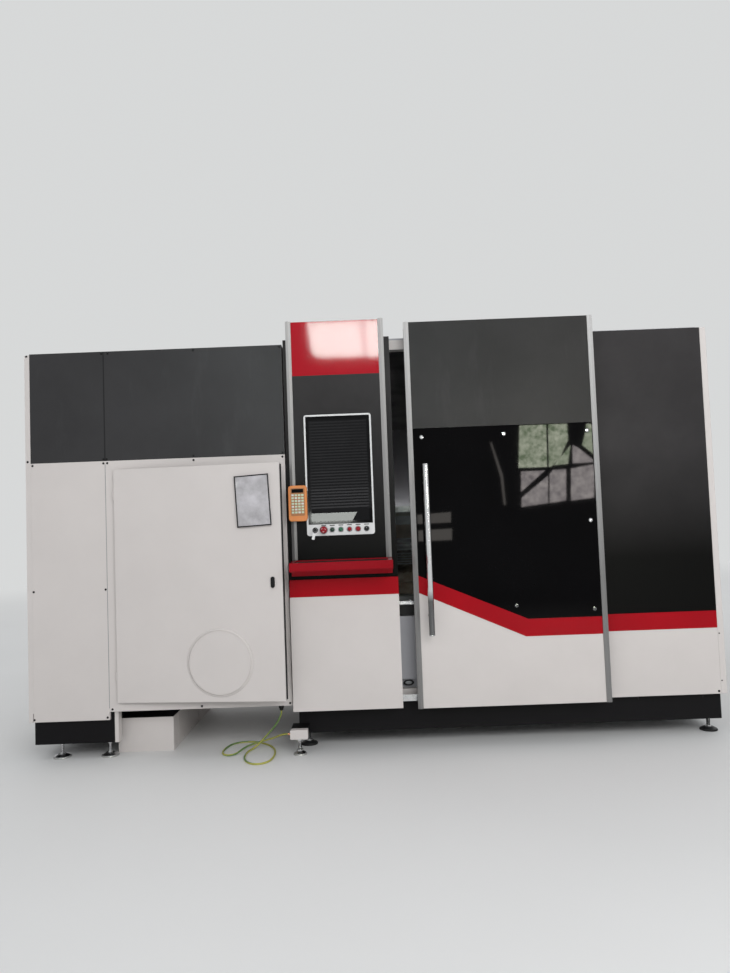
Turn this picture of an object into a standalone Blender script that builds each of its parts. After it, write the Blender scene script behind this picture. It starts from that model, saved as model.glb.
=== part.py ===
"""Fiber laser cutting machine: a fully enclosed flat-bed cutter with a sliding door,
an operator console and an electrical cabinet beside it.

Metres, +Z up. The front faces -Y, and the origin is on the floor under the middle of
the machine's box. Run with: blender --background --python part.py
"""
import math

import bmesh
import bpy

# Clearances
SEAT_GAP = 0.0003            # between pieces that touch
RUNNING_GAP = 0.0006         # round rails, grooves and stems
CUT_OVERRUN = 0.004          # how far a cutter passes the face that it cuts
FUSE_OVERLAP = 0.002         # how deep fused solids reach into each other

# Overall plan: cabinet on the left, enclosure with console and door on the right
CABINET_WIDTH = 1.460
CABINET_GAP = 0.007
ENCLOSURE_WIDTH = 2.407
ENCLOSURE_DEPTH = 4.150      # console front plane to the inside of the rear wall
TRAY_REACH = 0.185           # keyboard tray in front of the console
WALL = 0.035                 # enclosure wall slabs
REAR_GUIDE_DEPTH = 0.030     # guides of the rear lifting door
MACHINE_HEIGHT = 2.392

X_LEFT = -(CABINET_WIDTH + CABINET_GAP + ENCLOSURE_WIDTH) / 2
X_RIGHT = -X_LEFT
ENCLOSURE_LEFT = X_LEFT + CABINET_WIDTH + CABINET_GAP
MACHINE_DEPTH = TRAY_REACH + ENCLOSURE_DEPTH + SEAT_GAP + WALL + REAR_GUIDE_DEPTH
FRONT_Y = -MACHINE_DEPTH / 2 + TRAY_REACH
REAR_Y = FRONT_Y + ENCLOSURE_DEPTH

# Base: tube frame on levelling feet, with a black skirt hung round it
BASE_TUBE = 0.060
BASE_BOTTOM = 0.250
BASE_TOP = BASE_BOTTOM + BASE_TUBE
SKIRT_BOTTOM = 0.080
SKIRT_INSET = 0.018
SKIRT_FRONT_SETBACK = 0.120
SKIRT_SHEET = 0.004
PAD_RADIUS = 0.045
PAD_HEIGHT = 0.020
PAD_TOP_SHARE = 0.55
STEM_RADIUS = 0.010
FOOT_STEPS = 16

# Front foot on its bracket, at the left front corner
FRONT_FOOT_X = 0.030         # from the enclosure's left side
FRONT_FOOT_PAD_RADIUS = 0.033
BRACKET_WIDTH = 0.092
BRACKET_HEIGHT = 0.048
BRACKET_BOTTOM = 0.088
BRACKET_REACH = 0.030        # in front of the stem

# Enclosure shell
PANEL_BOTTOM = 0.228
PANEL_TOP_DROP = 0.103
PANEL_TOP = MACHINE_HEIGHT - PANEL_TOP_DROP
PANEL_SETBACK = 0.070        # fixed right panels, behind the sliding door
PANEL_DEPTH = 0.028
SHEET = 0.002                # folded sheet panels
ROOF_THICKNESS = 0.020
ROOF_INSET = 0.010
ROOF_SETBACK = 0.170

# Portal frame behind the door and the fixed right panels
HEADER_HEIGHT = 0.054
JAMB_WIDTH = 0.045
PORTAL_DEPTH = 0.060
DOORWAY_WIDTH = 1.023

# Red band, which steps down across the sliding door
BAND_HEIGHT = 0.095
BAND_UPPER_Z = 0.850
BAND_LOWER_Z = 0.592
BAND_BEND_TOP = 0.625        # from the door's left edge
BAND_BEND_BOTTOM = 0.608

# Front apron under the doorway
APRON_SETBACK = 0.115
APRON_BACK = 0.040
APRON_STEP = 0.018
APRON_LIP_Z = 0.778
APRON_TOP_Z = 0.796
APRON_PANEL_TOP = 0.712
APRON_PANEL_BOTTOM = 0.359

# Sliding door
DOOR_WIDTH = 1.059
DOOR_AJAR = 0.082            # open gap to the console at rest
DOOR_BOTTOM = 0.222
DOOR_TOP_DROP = 0.028
DOOR_TOP = MACHINE_HEIGHT - DOOR_TOP_DROP
DOOR_SKIN = 0.010
DOOR_FRAME_DEPTH = 0.030
DOOR_TUBE = 0.045
DOOR_EDGE_INSET = 0.002
TRIM_WIDTH = 0.029
TRIM_PROUD = 0.012
TRIM_SHOULDER = 0.004
GLASS_TOP_DROP = 0.602
GLASS_TOP = DOOR_TOP - GLASS_TOP_DROP
GLASS_THICKNESS = 0.006
WINDOW_RAIL = 0.060          # frame rail behind the glass's top edge
HANGER_WIDTH = 0.090
HANGER_INSET = 0.100         # hanger middle from the door's side
HANGER_HEIGHT = 0.050
HANGER_CLEARANCE = 0.006
HANGER_BACK = 0.020          # block behind the rail
TOP_RAIL_SETBACK = 0.120
TOP_RAIL_WIDTH = 0.020
TOP_RAIL_HEIGHT = 0.015
GUIDE_FIN = 0.006
GUIDE_SETBACK = 0.060
GUIDE_HEIGHT = 0.036
SHOE_INSET = 0.030
SHOE_WIDTH = 0.080
SHOE_HEIGHT = 0.038
SHOE_BOTTOM = 0.262
SHOE_CHEEK = 0.012

HANDLE_RADIUS = 0.016
HANDLE_INSET = 0.087         # from the door's left edge
HANDLE_REACH = 0.075
HANDLE_BOTTOM = 0.627
HANDLE_TOP_DROP = 0.207
HANDLE_TOP = GLASS_TOP - HANDLE_TOP_DROP
HANDLE_POST_RADIUS = 0.010
HANDLE_POST_INSET = 0.100

# Operator console
CONSOLE_WIDTH = 0.602
CONSOLE_DEPTH = 0.310
CONSOLE_SKIN = 0.030
CONSOLE_UPPER_LEFT = 0.021   # upper tower's step-in on the left
CONSOLE_UPPER_RIGHT = 0.031  # and on the right
CONSOLE_TRIM = 0.030
CONSOLE_SHOULDER_DROP = 0.096
CONSOLE_SHOULDER_Z = MACHINE_HEIGHT - CONSOLE_SHOULDER_DROP
CONSOLE_RED_DROP = 0.3095
CONSOLE_RED_Z = MACHINE_HEIGHT - CONSOLE_RED_DROP
CONSOLE_CAP = 0.004          # trims stand this much over the tower

TRAY_TOP = 1.054
TRAY_FRONT_TOP = 1.047
TRAY_LIP_BOTTOM = 0.999
TRAY_BOTTOM = 0.969
TRAY_STEP_SETBACK = 0.050    # under-step, in front of the console plane
TRAY_EDGE = 0.007
TRAY_RIM = 0.024
TRAY_RECESS = 0.009

MONITOR_WIDTH = 0.375
MONITOR_BOTTOM = 1.185
MONITOR_TOP = 1.858
MONITOR_DEPTH = 0.012
MONITOR_CORNER = 0.014
BEZEL_SIDE = 0.0095
BEZEL_FOOT = 0.0615
SCREEN_THICKNESS = 0.006

CONTROL_PITCH = 0.0475
CONTROL_Z = 1.2165
CONTROL_STEM = 0.006
CONTROL_TRAVEL = 0.004
CONTROL_SEGMENTS = 14
CONTROL_CAP = 0.011
CONTROL_CAP_LARGE = 0.013
CONTROL_CAP_DEPTH = 0.009
CONTROL_STEM_DEPTH = 0.006   # stem inside the bezel at rest
ESTOP_RADIUS = 0.020
ESTOP_DEPTH = 0.024
KEY_BARREL = 0.009
KEY_BLADE = 0.020
KEY_BOW_WIDTH = 0.022
KEY_BOW_LENGTH = 0.024
KEY_THICKNESS = 0.0025
KNOB_RADIUS = 0.012
KNOB_DEPTH = 0.014
KNOB_GRIP = 0.006

PENDANT_WIDTH = 0.103
PENDANT_HEIGHT = 0.197
PENDANT_THICKNESS = 0.028
PENDANT_BOTTOM = 1.269
PENDANT_OVERHANG = 0.008     # past the tower's left side
PENDANT_CORNER = 0.016
PENDANT_EDGE = 0.004

# Electrical cabinet
CABINET_DEPTH = 1.300
CABINET_SETBACK = 0.030
CABINET_TOP_DROP = 0.121
CABINET_TOP = MACHINE_HEIGHT - CABINET_TOP_DROP
CABINET_SEAM_DROP = 0.744
CABINET_SEAM_Z = MACHINE_HEIGHT - CABINET_SEAM_DROP
NARROW_WIDTH = 0.448
NARROW_BOTTOM = 0.213
WIDE_BOTTOM = 0.257
CABINET_WALL = 0.020
CABINET_SKIN = 0.020
CABINET_FLOOR = 0.003        # carcass above the wide panel's lower edge
CORNER_POST = 0.028
CAP_INSET = 0.001
CAP_RISE = 0.009
MID_RAIL = 0.040

HATCH_LEFT = 0.089           # doorway in the wide panel, from its left edge
HATCH_RIGHT = 0.048
HATCH_BOTTOM = 0.345
HATCH_TOP_DROP = 0.088
HATCH_TOP = CABINET_SEAM_Z - HATCH_TOP_DROP
LEAF_RIGHT = 0.013           # closed door to the cabinet's right edge
LEAF_MARGIN = 0.054          # from the wide panel's left edge
LEAF_WIDTH = (CABINET_WIDTH - NARROW_WIDTH) - LEAF_MARGIN - LEAF_RIGHT
LEAF_BOTTOM = 0.309
LEAF_TOP_DROP = 0.053
LEAF_TOP = CABINET_SEAM_Z - LEAF_TOP_DROP
LEAF_DEPTH = 0.020
LEAF_SEAL = 0.0015
LEAF_OPEN_DEG = 6.0
HINGE_OFFSET = 0.006         # pin axis to the door's edge
HINGE_RADIUS = 0.0045
HINGE_SETBACK = 0.0065       # pin axis behind the door's face
HINGE_HEIGHT = 0.050
HINGE_INSET = 0.120
HINGE_LEAF = 0.003

LEAF_END = HINGE_OFFSET + LEAF_WIDTH
LOCK_INSET = 0.054             # middle to the door's free edge
LOCK_ALONG = LEAF_END - LOCK_INSET
LOCK_WIDTH = 0.021
LOCK_HEIGHT = 0.060
LOCK_PROUD = 0.008
LOCK_STEM = 0.006
CAM_LENGTH = 0.040
CAM_WIDTH = 0.015
CAM_THICKNESS = 0.003
CAM_SETBACK = 0.0445         # behind the door's face

POCKET_INSET = 0.1495             # middle to the door's free edge
POCKET_ALONG = LEAF_END - POCKET_INSET
POCKET_WIDTH = 0.191
POCKET_BOTTOM_DROP = 0.345
POCKET_BOTTOM = LEAF_TOP - POCKET_BOTTOM_DROP
LOCK_DROP = 0.305            # lock's middle below the pocket
LOCK_Z = POCKET_BOTTOM - LOCK_DROP
POCKET_HEIGHT = 0.281
POCKET_DEPTH = 0.014
POCKET_FACE = 0.0025
POCKET_RIM = 0.005
COVER_INSET = 0.359             # middle to the door's free edge
COVER_ALONG = LEAF_END - COVER_INSET
COVER_Z = 0.519
COVER_RADIUS = 0.175
COVER_DEPTH = 0.008
COVER_EDGE = 0.004

PLATE_SETBACK = 0.600
PLATE_BOTTOM = 0.560
PLATE_TOP_DROP = 0.511
PLATE_TOP = CABINET_TOP - PLATE_TOP_DROP
PLATE_THICKNESS = 0.004
DRIVE_WIDTH = 0.085
DRIVE_HEIGHT = 0.200
DRIVE_DEPTH = 0.150
DRIVE_COUNT = 5
BREAKER_WIDTH = 0.050
BREAKER_HEIGHT = 0.085
BREAKER_DEPTH = 0.070
BREAKER_COUNT = 9
DUCT_HEIGHT = 0.040
DUCT_DEPTH = 0.060

SOURCE_WIDTH = 0.500
SOURCE_HEIGHT = 0.210
SOURCE_DEPTH = 0.700
SOURCE_SETBACK = 0.110
SOURCE_GRIP = 0.012
SOURCE_GRIP_REACH = 0.030

PLINTH_INSET = 0.024
PLINTH_WIDTH = 0.444
PLINTH_SETBACK = 0.050
PLINTH_BOTTOM = 0.085
PLINTH_END = 0.020
PLINTH_STEM = 0.007
LEG_WIDTH = 0.021
LEG_DEPTH = 0.050

FUME_DUCT_LEFT = 0.453       # from the cabinet's left side
FUME_DUCT_WIDTH = 0.314
FUME_DUCT_HEIGHT = 0.190
FUME_DUCT_SETBACK = 0.150
FUME_DUCT_LENGTH = 1.060
FUME_RISER = 0.200
FUME_EDGE = 0.003

# Cutting bed
RAIL_MARGIN_LEFT = 0.255     # rail's middle to the inside of the left wall
RAIL_MARGIN_RIGHT = 0.242    # and of the right wall
RAIL_SPACING = ENCLOSURE_WIDTH - 2 * WALL - RAIL_MARGIN_LEFT - RAIL_MARGIN_RIGHT
BED_CENTRE_X = ENCLOSURE_LEFT + WALL + RAIL_MARGIN_LEFT + RAIL_SPACING / 2
BED_FRONT_SETBACK = 0.360
BED_BACK_SETBACK = 0.060
BED_SIDE = 0.240             # welded box beam on each side
BED_TOP = 0.935
RAIL_WIDTH = 0.034
RAIL_HEIGHT = 0.030
CROSS_WIDTH = 0.100
CROSS_BOTTOM = 0.560
CROSS_TOP = 0.800
CROSS_COUNT = 4
POCKET_COUNT = 4             # openings in each side beam
POCKET_LENGTH = 0.400
POCKET_LOW = 0.420
POCKET_HIGH = 0.740
POCKET_CHAMFER = 0.060

TABLE_MARGIN = 0.150         # table's side to the rail's middle
TABLE_WIDTH = RAIL_SPACING - 2 * TABLE_MARGIN
TABLE_FRONT_SETBACK = 0.500
TABLE_LENGTH = 3.300
TABLE_BAR = 0.060
TABLE_BAR_TOP = 0.870
SLAT_COUNT = 18
SLAT_THICKNESS = 0.006
SLAT_BOTTOM = 0.835
SLAT_VALLEY = 0.905
SLAT_TIP = 0.925
SLAT_TEETH = 14
SLAT_END_MARGIN = 0.012

# Motion system
GANTRY_SETBACK = 0.800       # beam middle at rest
GANTRY_BEAM_DEPTH = 0.240
GANTRY_BEAM_BOTTOM = 1.062
GANTRY_BEAM_TOP = 1.310
TRUCK_LENGTH = 0.450
TRUCK_TOP = 1.070
TRUCK_LIFT = 0.003
CROSS_RAIL_WIDTH = 0.024
CROSS_RAIL_DEPTH = 0.020
CROSS_RAIL_LOW = 1.110
CROSS_RAIL_HIGH = 1.260
CARRIAGE_OFFSET = 0.290      # carriage middle at rest, left of the bed's middle
CARRIAGE_X = BED_CENTRE_X - CARRIAGE_OFFSET
CARRIAGE_WIDTH = 0.260
CARRIAGE_BOTTOM = 1.060
CARRIAGE_TOP = 1.420
CARRIAGE_DEPTH = 0.040
CARRIAGE_STANDOFF = 0.004
Z_RAIL_WIDTH = 0.030
Z_RAIL_DEPTH = 0.014
HEAD_WIDTH = 0.120
HEAD_DEPTH = 0.080
HEAD_BODY_BOTTOM = 1.130
HEAD_BODY_TOP = 1.460
HEAD_BARREL = 0.036
HEAD_BARREL_BOTTOM = 1.050
NOZZLE_BOTTOM = 0.990
NOZZLE_RADIUS = 0.006

# Rear loading slot and its lifting door
SLOT_MARGIN = 0.070          # slot's side to the rail's middle
SLOT_WIDTH = RAIL_SPACING - 2 * SLOT_MARGIN
SLOT_BOTTOM = 0.790
SLOT_TOP = 1.200
LIFT_OVERLAP = 0.030
LIFT_TRAVEL = 0.420
LIFT_SETBACK = 0.004
LIFT_THICKNESS = 0.018
LIFT_GUIDE_WIDTH = 0.034
LIFT_GUIDE_BITE = 0.012
LIFT_STOP = 0.020

# Earth wire from the cabinet to the front foot's bracket
WIRE_RADIUS = 0.005
GLAND_RADIUS = 0.012
GLAND_HEIGHT = 0.014
GLAND_INSET = 0.069          # from the cabinet's right side
GLAND_X = ENCLOSURE_LEFT - CABINET_GAP - GLAND_INSET
GLAND_SETBACK = 0.085
# Route points: distance from the enclosure's left side and behind the
# console's front plane, and height
WIRE_ROUTE = [
    (-0.0760, 0.085, 0.2455), (-0.0760, 0.085, 0.225), (-0.0800, 0.087, 0.198),
    (-0.0950, 0.093, 0.164), (-0.1220, 0.104, 0.124), (-0.1560, 0.118, 0.086),
    (-0.1900, 0.128, 0.050), (-0.2200, 0.127, 0.0215), (-0.2450, 0.108, 0.0070),
    (-0.2620, 0.070, 0.0054), (-0.2700, 0.014, 0.0054), (-0.2660, -0.050, 0.0054),
    (-0.2460, -0.110, 0.0054), (-0.2080, -0.152, 0.0054), (-0.1630, -0.156, 0.0054),
    (-0.1280, -0.122, 0.0054), (-0.1110, -0.060, 0.0054), (-0.1100, 0.016, 0.0054),
    (-0.1230, 0.090, 0.0054), (-0.1520, 0.152, 0.0054), (-0.1940, 0.202, 0.0054),
    (-0.2520, 0.240, 0.0054), (-0.3160, 0.248, 0.0054), (-0.3700, 0.220, 0.0054),
    (-0.3980, 0.160, 0.0054), (-0.4070, 0.098, 0.0054), (-0.4040, 0.052, 0.0054),
    (-0.3840, 0.016, 0.0056), (-0.3520, 0.005, 0.0066), (-0.3220, 0.025, 0.0092),
    (-0.3020, 0.068, 0.0145), (-0.2740, 0.120, 0.0195), (-0.2300, 0.152, 0.0255),
    (-0.1800, 0.152, 0.0385), (-0.1360, 0.124, 0.0560), (-0.1040, 0.088, 0.0750),
    (-0.0820, 0.052, 0.0910), (-0.0590, 0.029, 0.1015), (-0.0360, 0.020, 0.1050),
    (-0.0168, 0.020, 0.1050),
]
WIRE_STEP = 0.026

PARTS_COLLECTION = "fiber_laser_cutting_machine"
SHAPING_COLLECTION = "shaping"


# Places worked out from the sizes above
CONSOLE_LEFT = ENCLOSURE_LEFT
CONSOLE_RIGHT = CONSOLE_LEFT + CONSOLE_WIDTH
TOWER_LEFT = CONSOLE_LEFT + CONSOLE_UPPER_LEFT
TOWER_RIGHT = CONSOLE_RIGHT - CONSOLE_UPPER_RIGHT
TOWER_CENTRE = (TOWER_LEFT + TOWER_RIGHT) / 2
CONSOLE_BACK = FRONT_Y + CONSOLE_DEPTH
DOORWAY_RIGHT = CONSOLE_RIGHT + DOORWAY_WIDTH
DOOR_LEFT = CONSOLE_RIGHT + DOOR_AJAR
PORTAL_FRONT = FRONT_Y + PANEL_SETBACK + PANEL_DEPTH + SEAT_GAP
PORTAL_BACK = PORTAL_FRONT + PORTAL_DEPTH
WALL_INNER_LEFT = ENCLOSURE_LEFT + WALL
WALL_INNER_RIGHT = X_RIGHT - WALL
CABINET_RIGHT = X_LEFT + CABINET_WIDTH
CABINET_FRONT = FRONT_Y + CABINET_SETBACK
CABINET_BACK = CABINET_FRONT + CABINET_DEPTH
CARCASS_FRONT = CABINET_FRONT + CABINET_SKIN + SEAT_GAP
CARCASS_BOTTOM = WIDE_BOTTOM + CABINET_FLOOR
CABINET_SEAM_X = X_LEFT + NARROW_WIDTH
LEAF_LEFT = CABINET_RIGHT - LEAF_RIGHT - LEAF_WIDTH
LEAF_FACE = CABINET_FRONT - LEAF_SEAL - LEAF_DEPTH
HINGE_X = LEAF_LEFT - HINGE_OFFSET
HINGE_Y = LEAF_FACE + HINGE_SETBACK
BED_FRONT = FRONT_Y + BED_FRONT_SETBACK
BED_BACK = REAR_Y - BED_BACK_SETBACK
RAIL_LEFT_X = BED_CENTRE_X - RAIL_SPACING / 2
RAIL_RIGHT_X = BED_CENTRE_X + RAIL_SPACING / 2
RAIL_TOP = BED_TOP + RAIL_HEIGHT
GANTRY_Y = FRONT_Y + GANTRY_SETBACK
BEAM_FRONT = GANTRY_Y - GANTRY_BEAM_DEPTH / 2
CARRIAGE_BACK = BEAM_FRONT - CROSS_RAIL_DEPTH - SEAT_GAP
CARRIAGE_FRONT = CARRIAGE_BACK - CARRIAGE_DEPTH
HEAD_BACK = CARRIAGE_FRONT - Z_RAIL_DEPTH - SEAT_GAP
TOP_RAIL_FRONT = FRONT_Y + TOP_RAIL_SETBACK
TOP_RAIL_BOTTOM = PANEL_TOP + SEAT_GAP
TOP_RAIL_TOP = TOP_RAIL_BOTTOM + TOP_RAIL_HEIGHT
GUIDE_FRONT = FRONT_Y + GUIDE_SETBACK
GUIDE_BOTTOM = BASE_BOTTOM + SEAT_GAP
GUIDE_TOP = GUIDE_BOTTOM + GUIDE_HEIGHT
MONITOR_LEFT = TOWER_CENTRE - MONITOR_WIDTH / 2
MONITOR_RIGHT = TOWER_CENTRE + MONITOR_WIDTH / 2
MONITOR_FACE = FRONT_Y - SEAT_GAP - MONITOR_DEPTH
SCREEN_BOTTOM = MONITOR_BOTTOM + BEZEL_FOOT
SCREEN_TOP = MONITOR_TOP - BEZEL_SIDE
LIFT_FRONT = REAR_Y + SEAT_GAP + WALL + LIFT_SETBACK


def rectangle(left, right, low, high):
    """Corner points of a rectangle."""
    return [(left, low), (right, low), (right, high), (left, high)]


def circle(centre_u, centre_v, radius, segments):
    """Points round a circle."""
    turn = 2 * math.pi / segments
    return [(centre_u + radius * math.cos(i * turn), centre_v + radius * math.sin(i * turn))
            for i in range(segments)]


def rounded_rectangle(left, right, low, high, radius, segments=4):
    """A rectangle with round corners."""
    points = []
    corners = [(right - radius, high - radius, 0), (left + radius, high - radius, 1),
               (left + radius, low + radius, 2), (right - radius, low + radius, 3)]
    for centre_u, centre_v, quarter in corners:
        for step in range(segments + 1):
            angle = math.pi / 2 * (quarter + step / segments)
            points.append((centre_u + radius * math.cos(angle),
                           centre_v + radius * math.sin(angle)))
    return points


def material(name, colour, roughness, metallic=0.0):
    """A Principled material with one colour."""
    made = bpy.data.materials.get(name)
    if made:
        return made
    made = bpy.data.materials.new(name)
    made.use_nodes = True
    shader = made.node_tree.nodes["Principled BSDF"]
    shader.inputs["Base Color"].default_value = (*colour, 1)
    shader.inputs["Roughness"].default_value = roughness
    shader.inputs["Metallic"].default_value = metallic
    made.diffuse_color = (*colour, 1)
    return made


def white_paint():
    return material("white_paint", (0.80, 0.80, 0.79), 0.40)


def dark_paint():
    return material("anthracite_paint", (0.045, 0.047, 0.052), 0.45)


def red_paint():
    return material("red_paint", (0.50, 0.008, 0.020), 0.30)


def black_paint():
    return material("black_paint", (0.015, 0.015, 0.016), 0.50)


def grey_paint():
    return material("grey_paint", (0.28, 0.29, 0.30), 0.50)


def silver():
    return material("silver_aluminium", (0.62, 0.63, 0.65), 0.35, 0.9)


def steel():
    return material("bright_steel", (0.55, 0.56, 0.58), 0.30, 1.0)


def black_glass():
    return material("black_glass", (0.006, 0.006, 0.007), 0.05)


def black_plastic():
    return material("black_plastic", (0.02, 0.02, 0.022), 0.40)


def white_plastic():
    return material("white_plastic", (0.75, 0.75, 0.76), 0.35)


def red_plastic():
    return material("red_plastic", (0.60, 0.01, 0.01), 0.30)


def green_plastic():
    return material("green_plastic", (0.02, 0.35, 0.10), 0.30)


def orange_plastic():
    return material("orange_plastic", (0.75, 0.22, 0.04), 0.40)


def clear_plastic():
    return material("clear_plastic", (0.70, 0.72, 0.74), 0.15)


def wire_jacket():
    return material("earth_wire_jacket", (0.45, 0.60, 0.05), 0.45)


def cast_grey():
    return material("machined_grey", (0.20, 0.21, 0.22), 0.55, 0.3)


def collection(name):
    """The collection of that name, made when it is missing."""
    found = bpy.data.collections.get(name)
    if found is None:
        found = bpy.data.collections.new(name)
        bpy.context.scene.collection.children.link(found)
    return found


def register(obj, paint, parent=None):
    """Put a finished piece into the part's collection, with its material and parent."""
    for owner in list(obj.users_collection):
        owner.objects.unlink(obj)
    collection(PARTS_COLLECTION).objects.link(obj)
    obj.data.materials.clear()
    obj.data.materials.append(paint)
    if parent is not None:
        obj.parent = parent
        for modifier in obj.modifiers:
            if modifier.type == "BOOLEAN":
                modifier.object.parent = parent
    return obj


def shaping(obj):
    """Keep a shape only as an operand of a Boolean."""
    for owner in list(obj.users_collection):
        owner.objects.unlink(obj)
    collection(SHAPING_COLLECTION).objects.link(obj)
    obj.hide_render = True
    obj.display_type = "WIRE"
    return obj


def pivot(name, place, turn_z=0.0, parent=None):
    """An empty on a joint's axis, which carries the body's pieces."""
    empty = bpy.data.objects.new(name, None)
    collection(PARTS_COLLECTION).objects.link(empty)
    empty.location = place
    empty.rotation_euler = (0, 0, turn_z)
    empty.parent = parent
    return empty


def mesh_object(name, build):
    """A new mesh object whose geometry the build function adds to a bmesh."""
    data = bpy.data.meshes.new(name)
    shape = bmesh.new()
    build(shape)
    bmesh.ops.recalc_face_normals(shape, faces=shape.faces)
    shape.to_mesh(data)
    shape.free()
    obj = bpy.data.objects.new(name, data)
    bpy.context.scene.collection.objects.link(obj)
    return obj


def add_cube(shape, low, high):
    """Add a box between two corners to a bmesh."""
    made = bmesh.ops.create_cube(shape, size=1)
    for vert in made["verts"]:
        for axis in range(3):
            middle = (low[axis] + high[axis]) / 2
            vert.co[axis] = middle + vert.co[axis] * (high[axis] - low[axis])


def box(name, low, high, bevel=0.0):
    """A box between two corners, its edges eased when bevel is set."""
    obj = mesh_object(name, lambda shape: add_cube(shape, low, high))
    if bevel:
        ease_edges(obj, bevel)
    return obj


def boxes(name, corners):
    """Several boxes in one mesh, for use as an operand."""
    def build(shape):
        for low, high in corners:
            add_cube(shape, low, high)
    return mesh_object(name, build)


def ease_edges(obj, width, segments=1):
    """Bevel the edges of a solid."""
    modifier = obj.modifiers.new("ease", "BEVEL")
    modifier.width = width
    modifier.segments = segments
    modifier.limit_method = "ANGLE"


PLANES = {
    "XY": (0, 0, 0),
    "XZ": (math.pi / 2, 0, 0),
    "YZ": (math.pi / 2, 0, math.pi / 2),
}


def flat_curve(name, outlines, plane, low, high, fill):
    """A 2D curve through closed outlines, extruded from low to high along its normal."""
    data = bpy.data.curves.new(name, "CURVE")
    data.dimensions = "2D"
    data.fill_mode = fill
    data.extrude = (high - low) / 2
    for outline in outlines:
        spline = data.splines.new("POLY")
        spline.points.add(len(outline) - 1)
        for point, (u, v) in zip(spline.points, outline):
            point.co = (u, v, 0, 1)
        spline.use_cyclic_u = True
    obj = bpy.data.objects.new(name, data)
    bpy.context.scene.collection.objects.link(obj)
    middle = (low + high) / 2
    normal_axis = {"XY": 2, "XZ": 1, "YZ": 0}[plane]
    obj.location[normal_axis] = middle
    obj.rotation_euler = PLANES[plane]
    return obj


def as_mesh(obj):
    """Turn a curve object, or one with modifiers, into a plain mesh object."""
    bpy.context.view_layer.update()
    graph = bpy.context.evaluated_depsgraph_get()
    data = bpy.data.meshes.new_from_object(obj.evaluated_get(graph))
    shape = bmesh.new()
    shape.from_mesh(data)
    bmesh.ops.remove_doubles(shape, verts=shape.verts, dist=SEAT_GAP / 10)
    shape.to_mesh(data)
    shape.free()
    name = obj.name
    made = bpy.data.objects.new(name + "_mesh", data)
    made.matrix_world = obj.matrix_world
    bpy.context.scene.collection.objects.link(made)
    bpy.data.objects.remove(obj)
    made.name = name
    return made


def prism(name, outlines, plane, low, high):
    """A solid of constant section: the first outline, less the others."""
    return as_mesh(flat_curve(name, outlines, plane, low, high, "BOTH"))


def pan(name, outlines, front, depth, sheet=SHEET):
    """A folded sheet panel facing -Y: a front face with its edges turned back."""
    obj = flat_curve(name, outlines, "XZ", front, front + depth, "FRONT")
    weld = obj.modifiers.new("weld", "WELD")
    weld.merge_threshold = SEAT_GAP / 10
    shell = obj.modifiers.new("sheet", "SOLIDIFY")
    shell.thickness = sheet
    shell.offset = -1
    shell.use_even_offset = True
    return obj


def turned(name, profile, segments=FOOT_STEPS):
    """A solid of revolution about its local Z axis: radius and height of each point,
    from the top of the axis down the outer side to its bottom."""
    data = bpy.data.meshes.new(name)
    count = len(profile)
    data.from_pydata([(radius, 0, height) for radius, height in profile],
                     [(i, i + 1) for i in range(count - 1)], [])
    obj = bpy.data.objects.new(name, data)
    bpy.context.scene.collection.objects.link(obj)
    screw = obj.modifiers.new("turn", "SCREW")
    screw.axis = "Z"
    screw.steps = segments
    screw.render_steps = segments
    screw.use_merge_vertices = True
    screw.merge_threshold = SEAT_GAP / 10
    screw.use_smooth_shade = False
    return as_mesh(obj)


def place_copies(name, source, places):
    """Copies of a mesh object's shape at several places, in one operand."""
    def build(shape):
        for place in places:
            copy = bmesh.new()
            copy.from_mesh(source.data)
            bmesh.ops.translate(copy, verts=copy.verts, vec=place)
            temporary = bpy.data.meshes.new(name)
            copy.to_mesh(temporary)
            copy.free()
            shape.from_mesh(temporary)
            bpy.data.meshes.remove(temporary)
    made = mesh_object(name, build)
    bpy.data.objects.remove(source)
    return made


def boolean(target, operand, operation):
    """Fuse or cut a target with an operand."""
    modifier = target.modifiers.new(operation.lower(), "BOOLEAN")
    modifier.operation = operation
    modifier.solver = "EXACT"
    modifier.object = shaping(operand)
    operand.parent = target.parent
    return target


def fuse(target, operand):
    return boolean(target, operand, "UNION")


def cut(target, operand):
    return boolean(target, operand, "DIFFERENCE")


def smooth(obj, degrees=35):
    """Shade round sides smooth and keep the edges sharp."""
    obj.data.shade_smooth()
    obj.data.set_sharp_from_angle(angle=math.radians(degrees))
    return obj


def levelling_foot(name, stem_radius, stem_top, pad_radius):
    """A levelling foot on the floor: pad and threaded stem, as one turned piece."""
    profile = [(0, stem_top), (stem_radius, stem_top), (stem_radius, PAD_HEIGHT),
               (pad_radius * PAD_TOP_SHARE, PAD_HEIGHT), (pad_radius, PAD_HEIGHT / 2),
               (pad_radius, 0), (0, 0)]
    return turned(name, profile)


# Base

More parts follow.
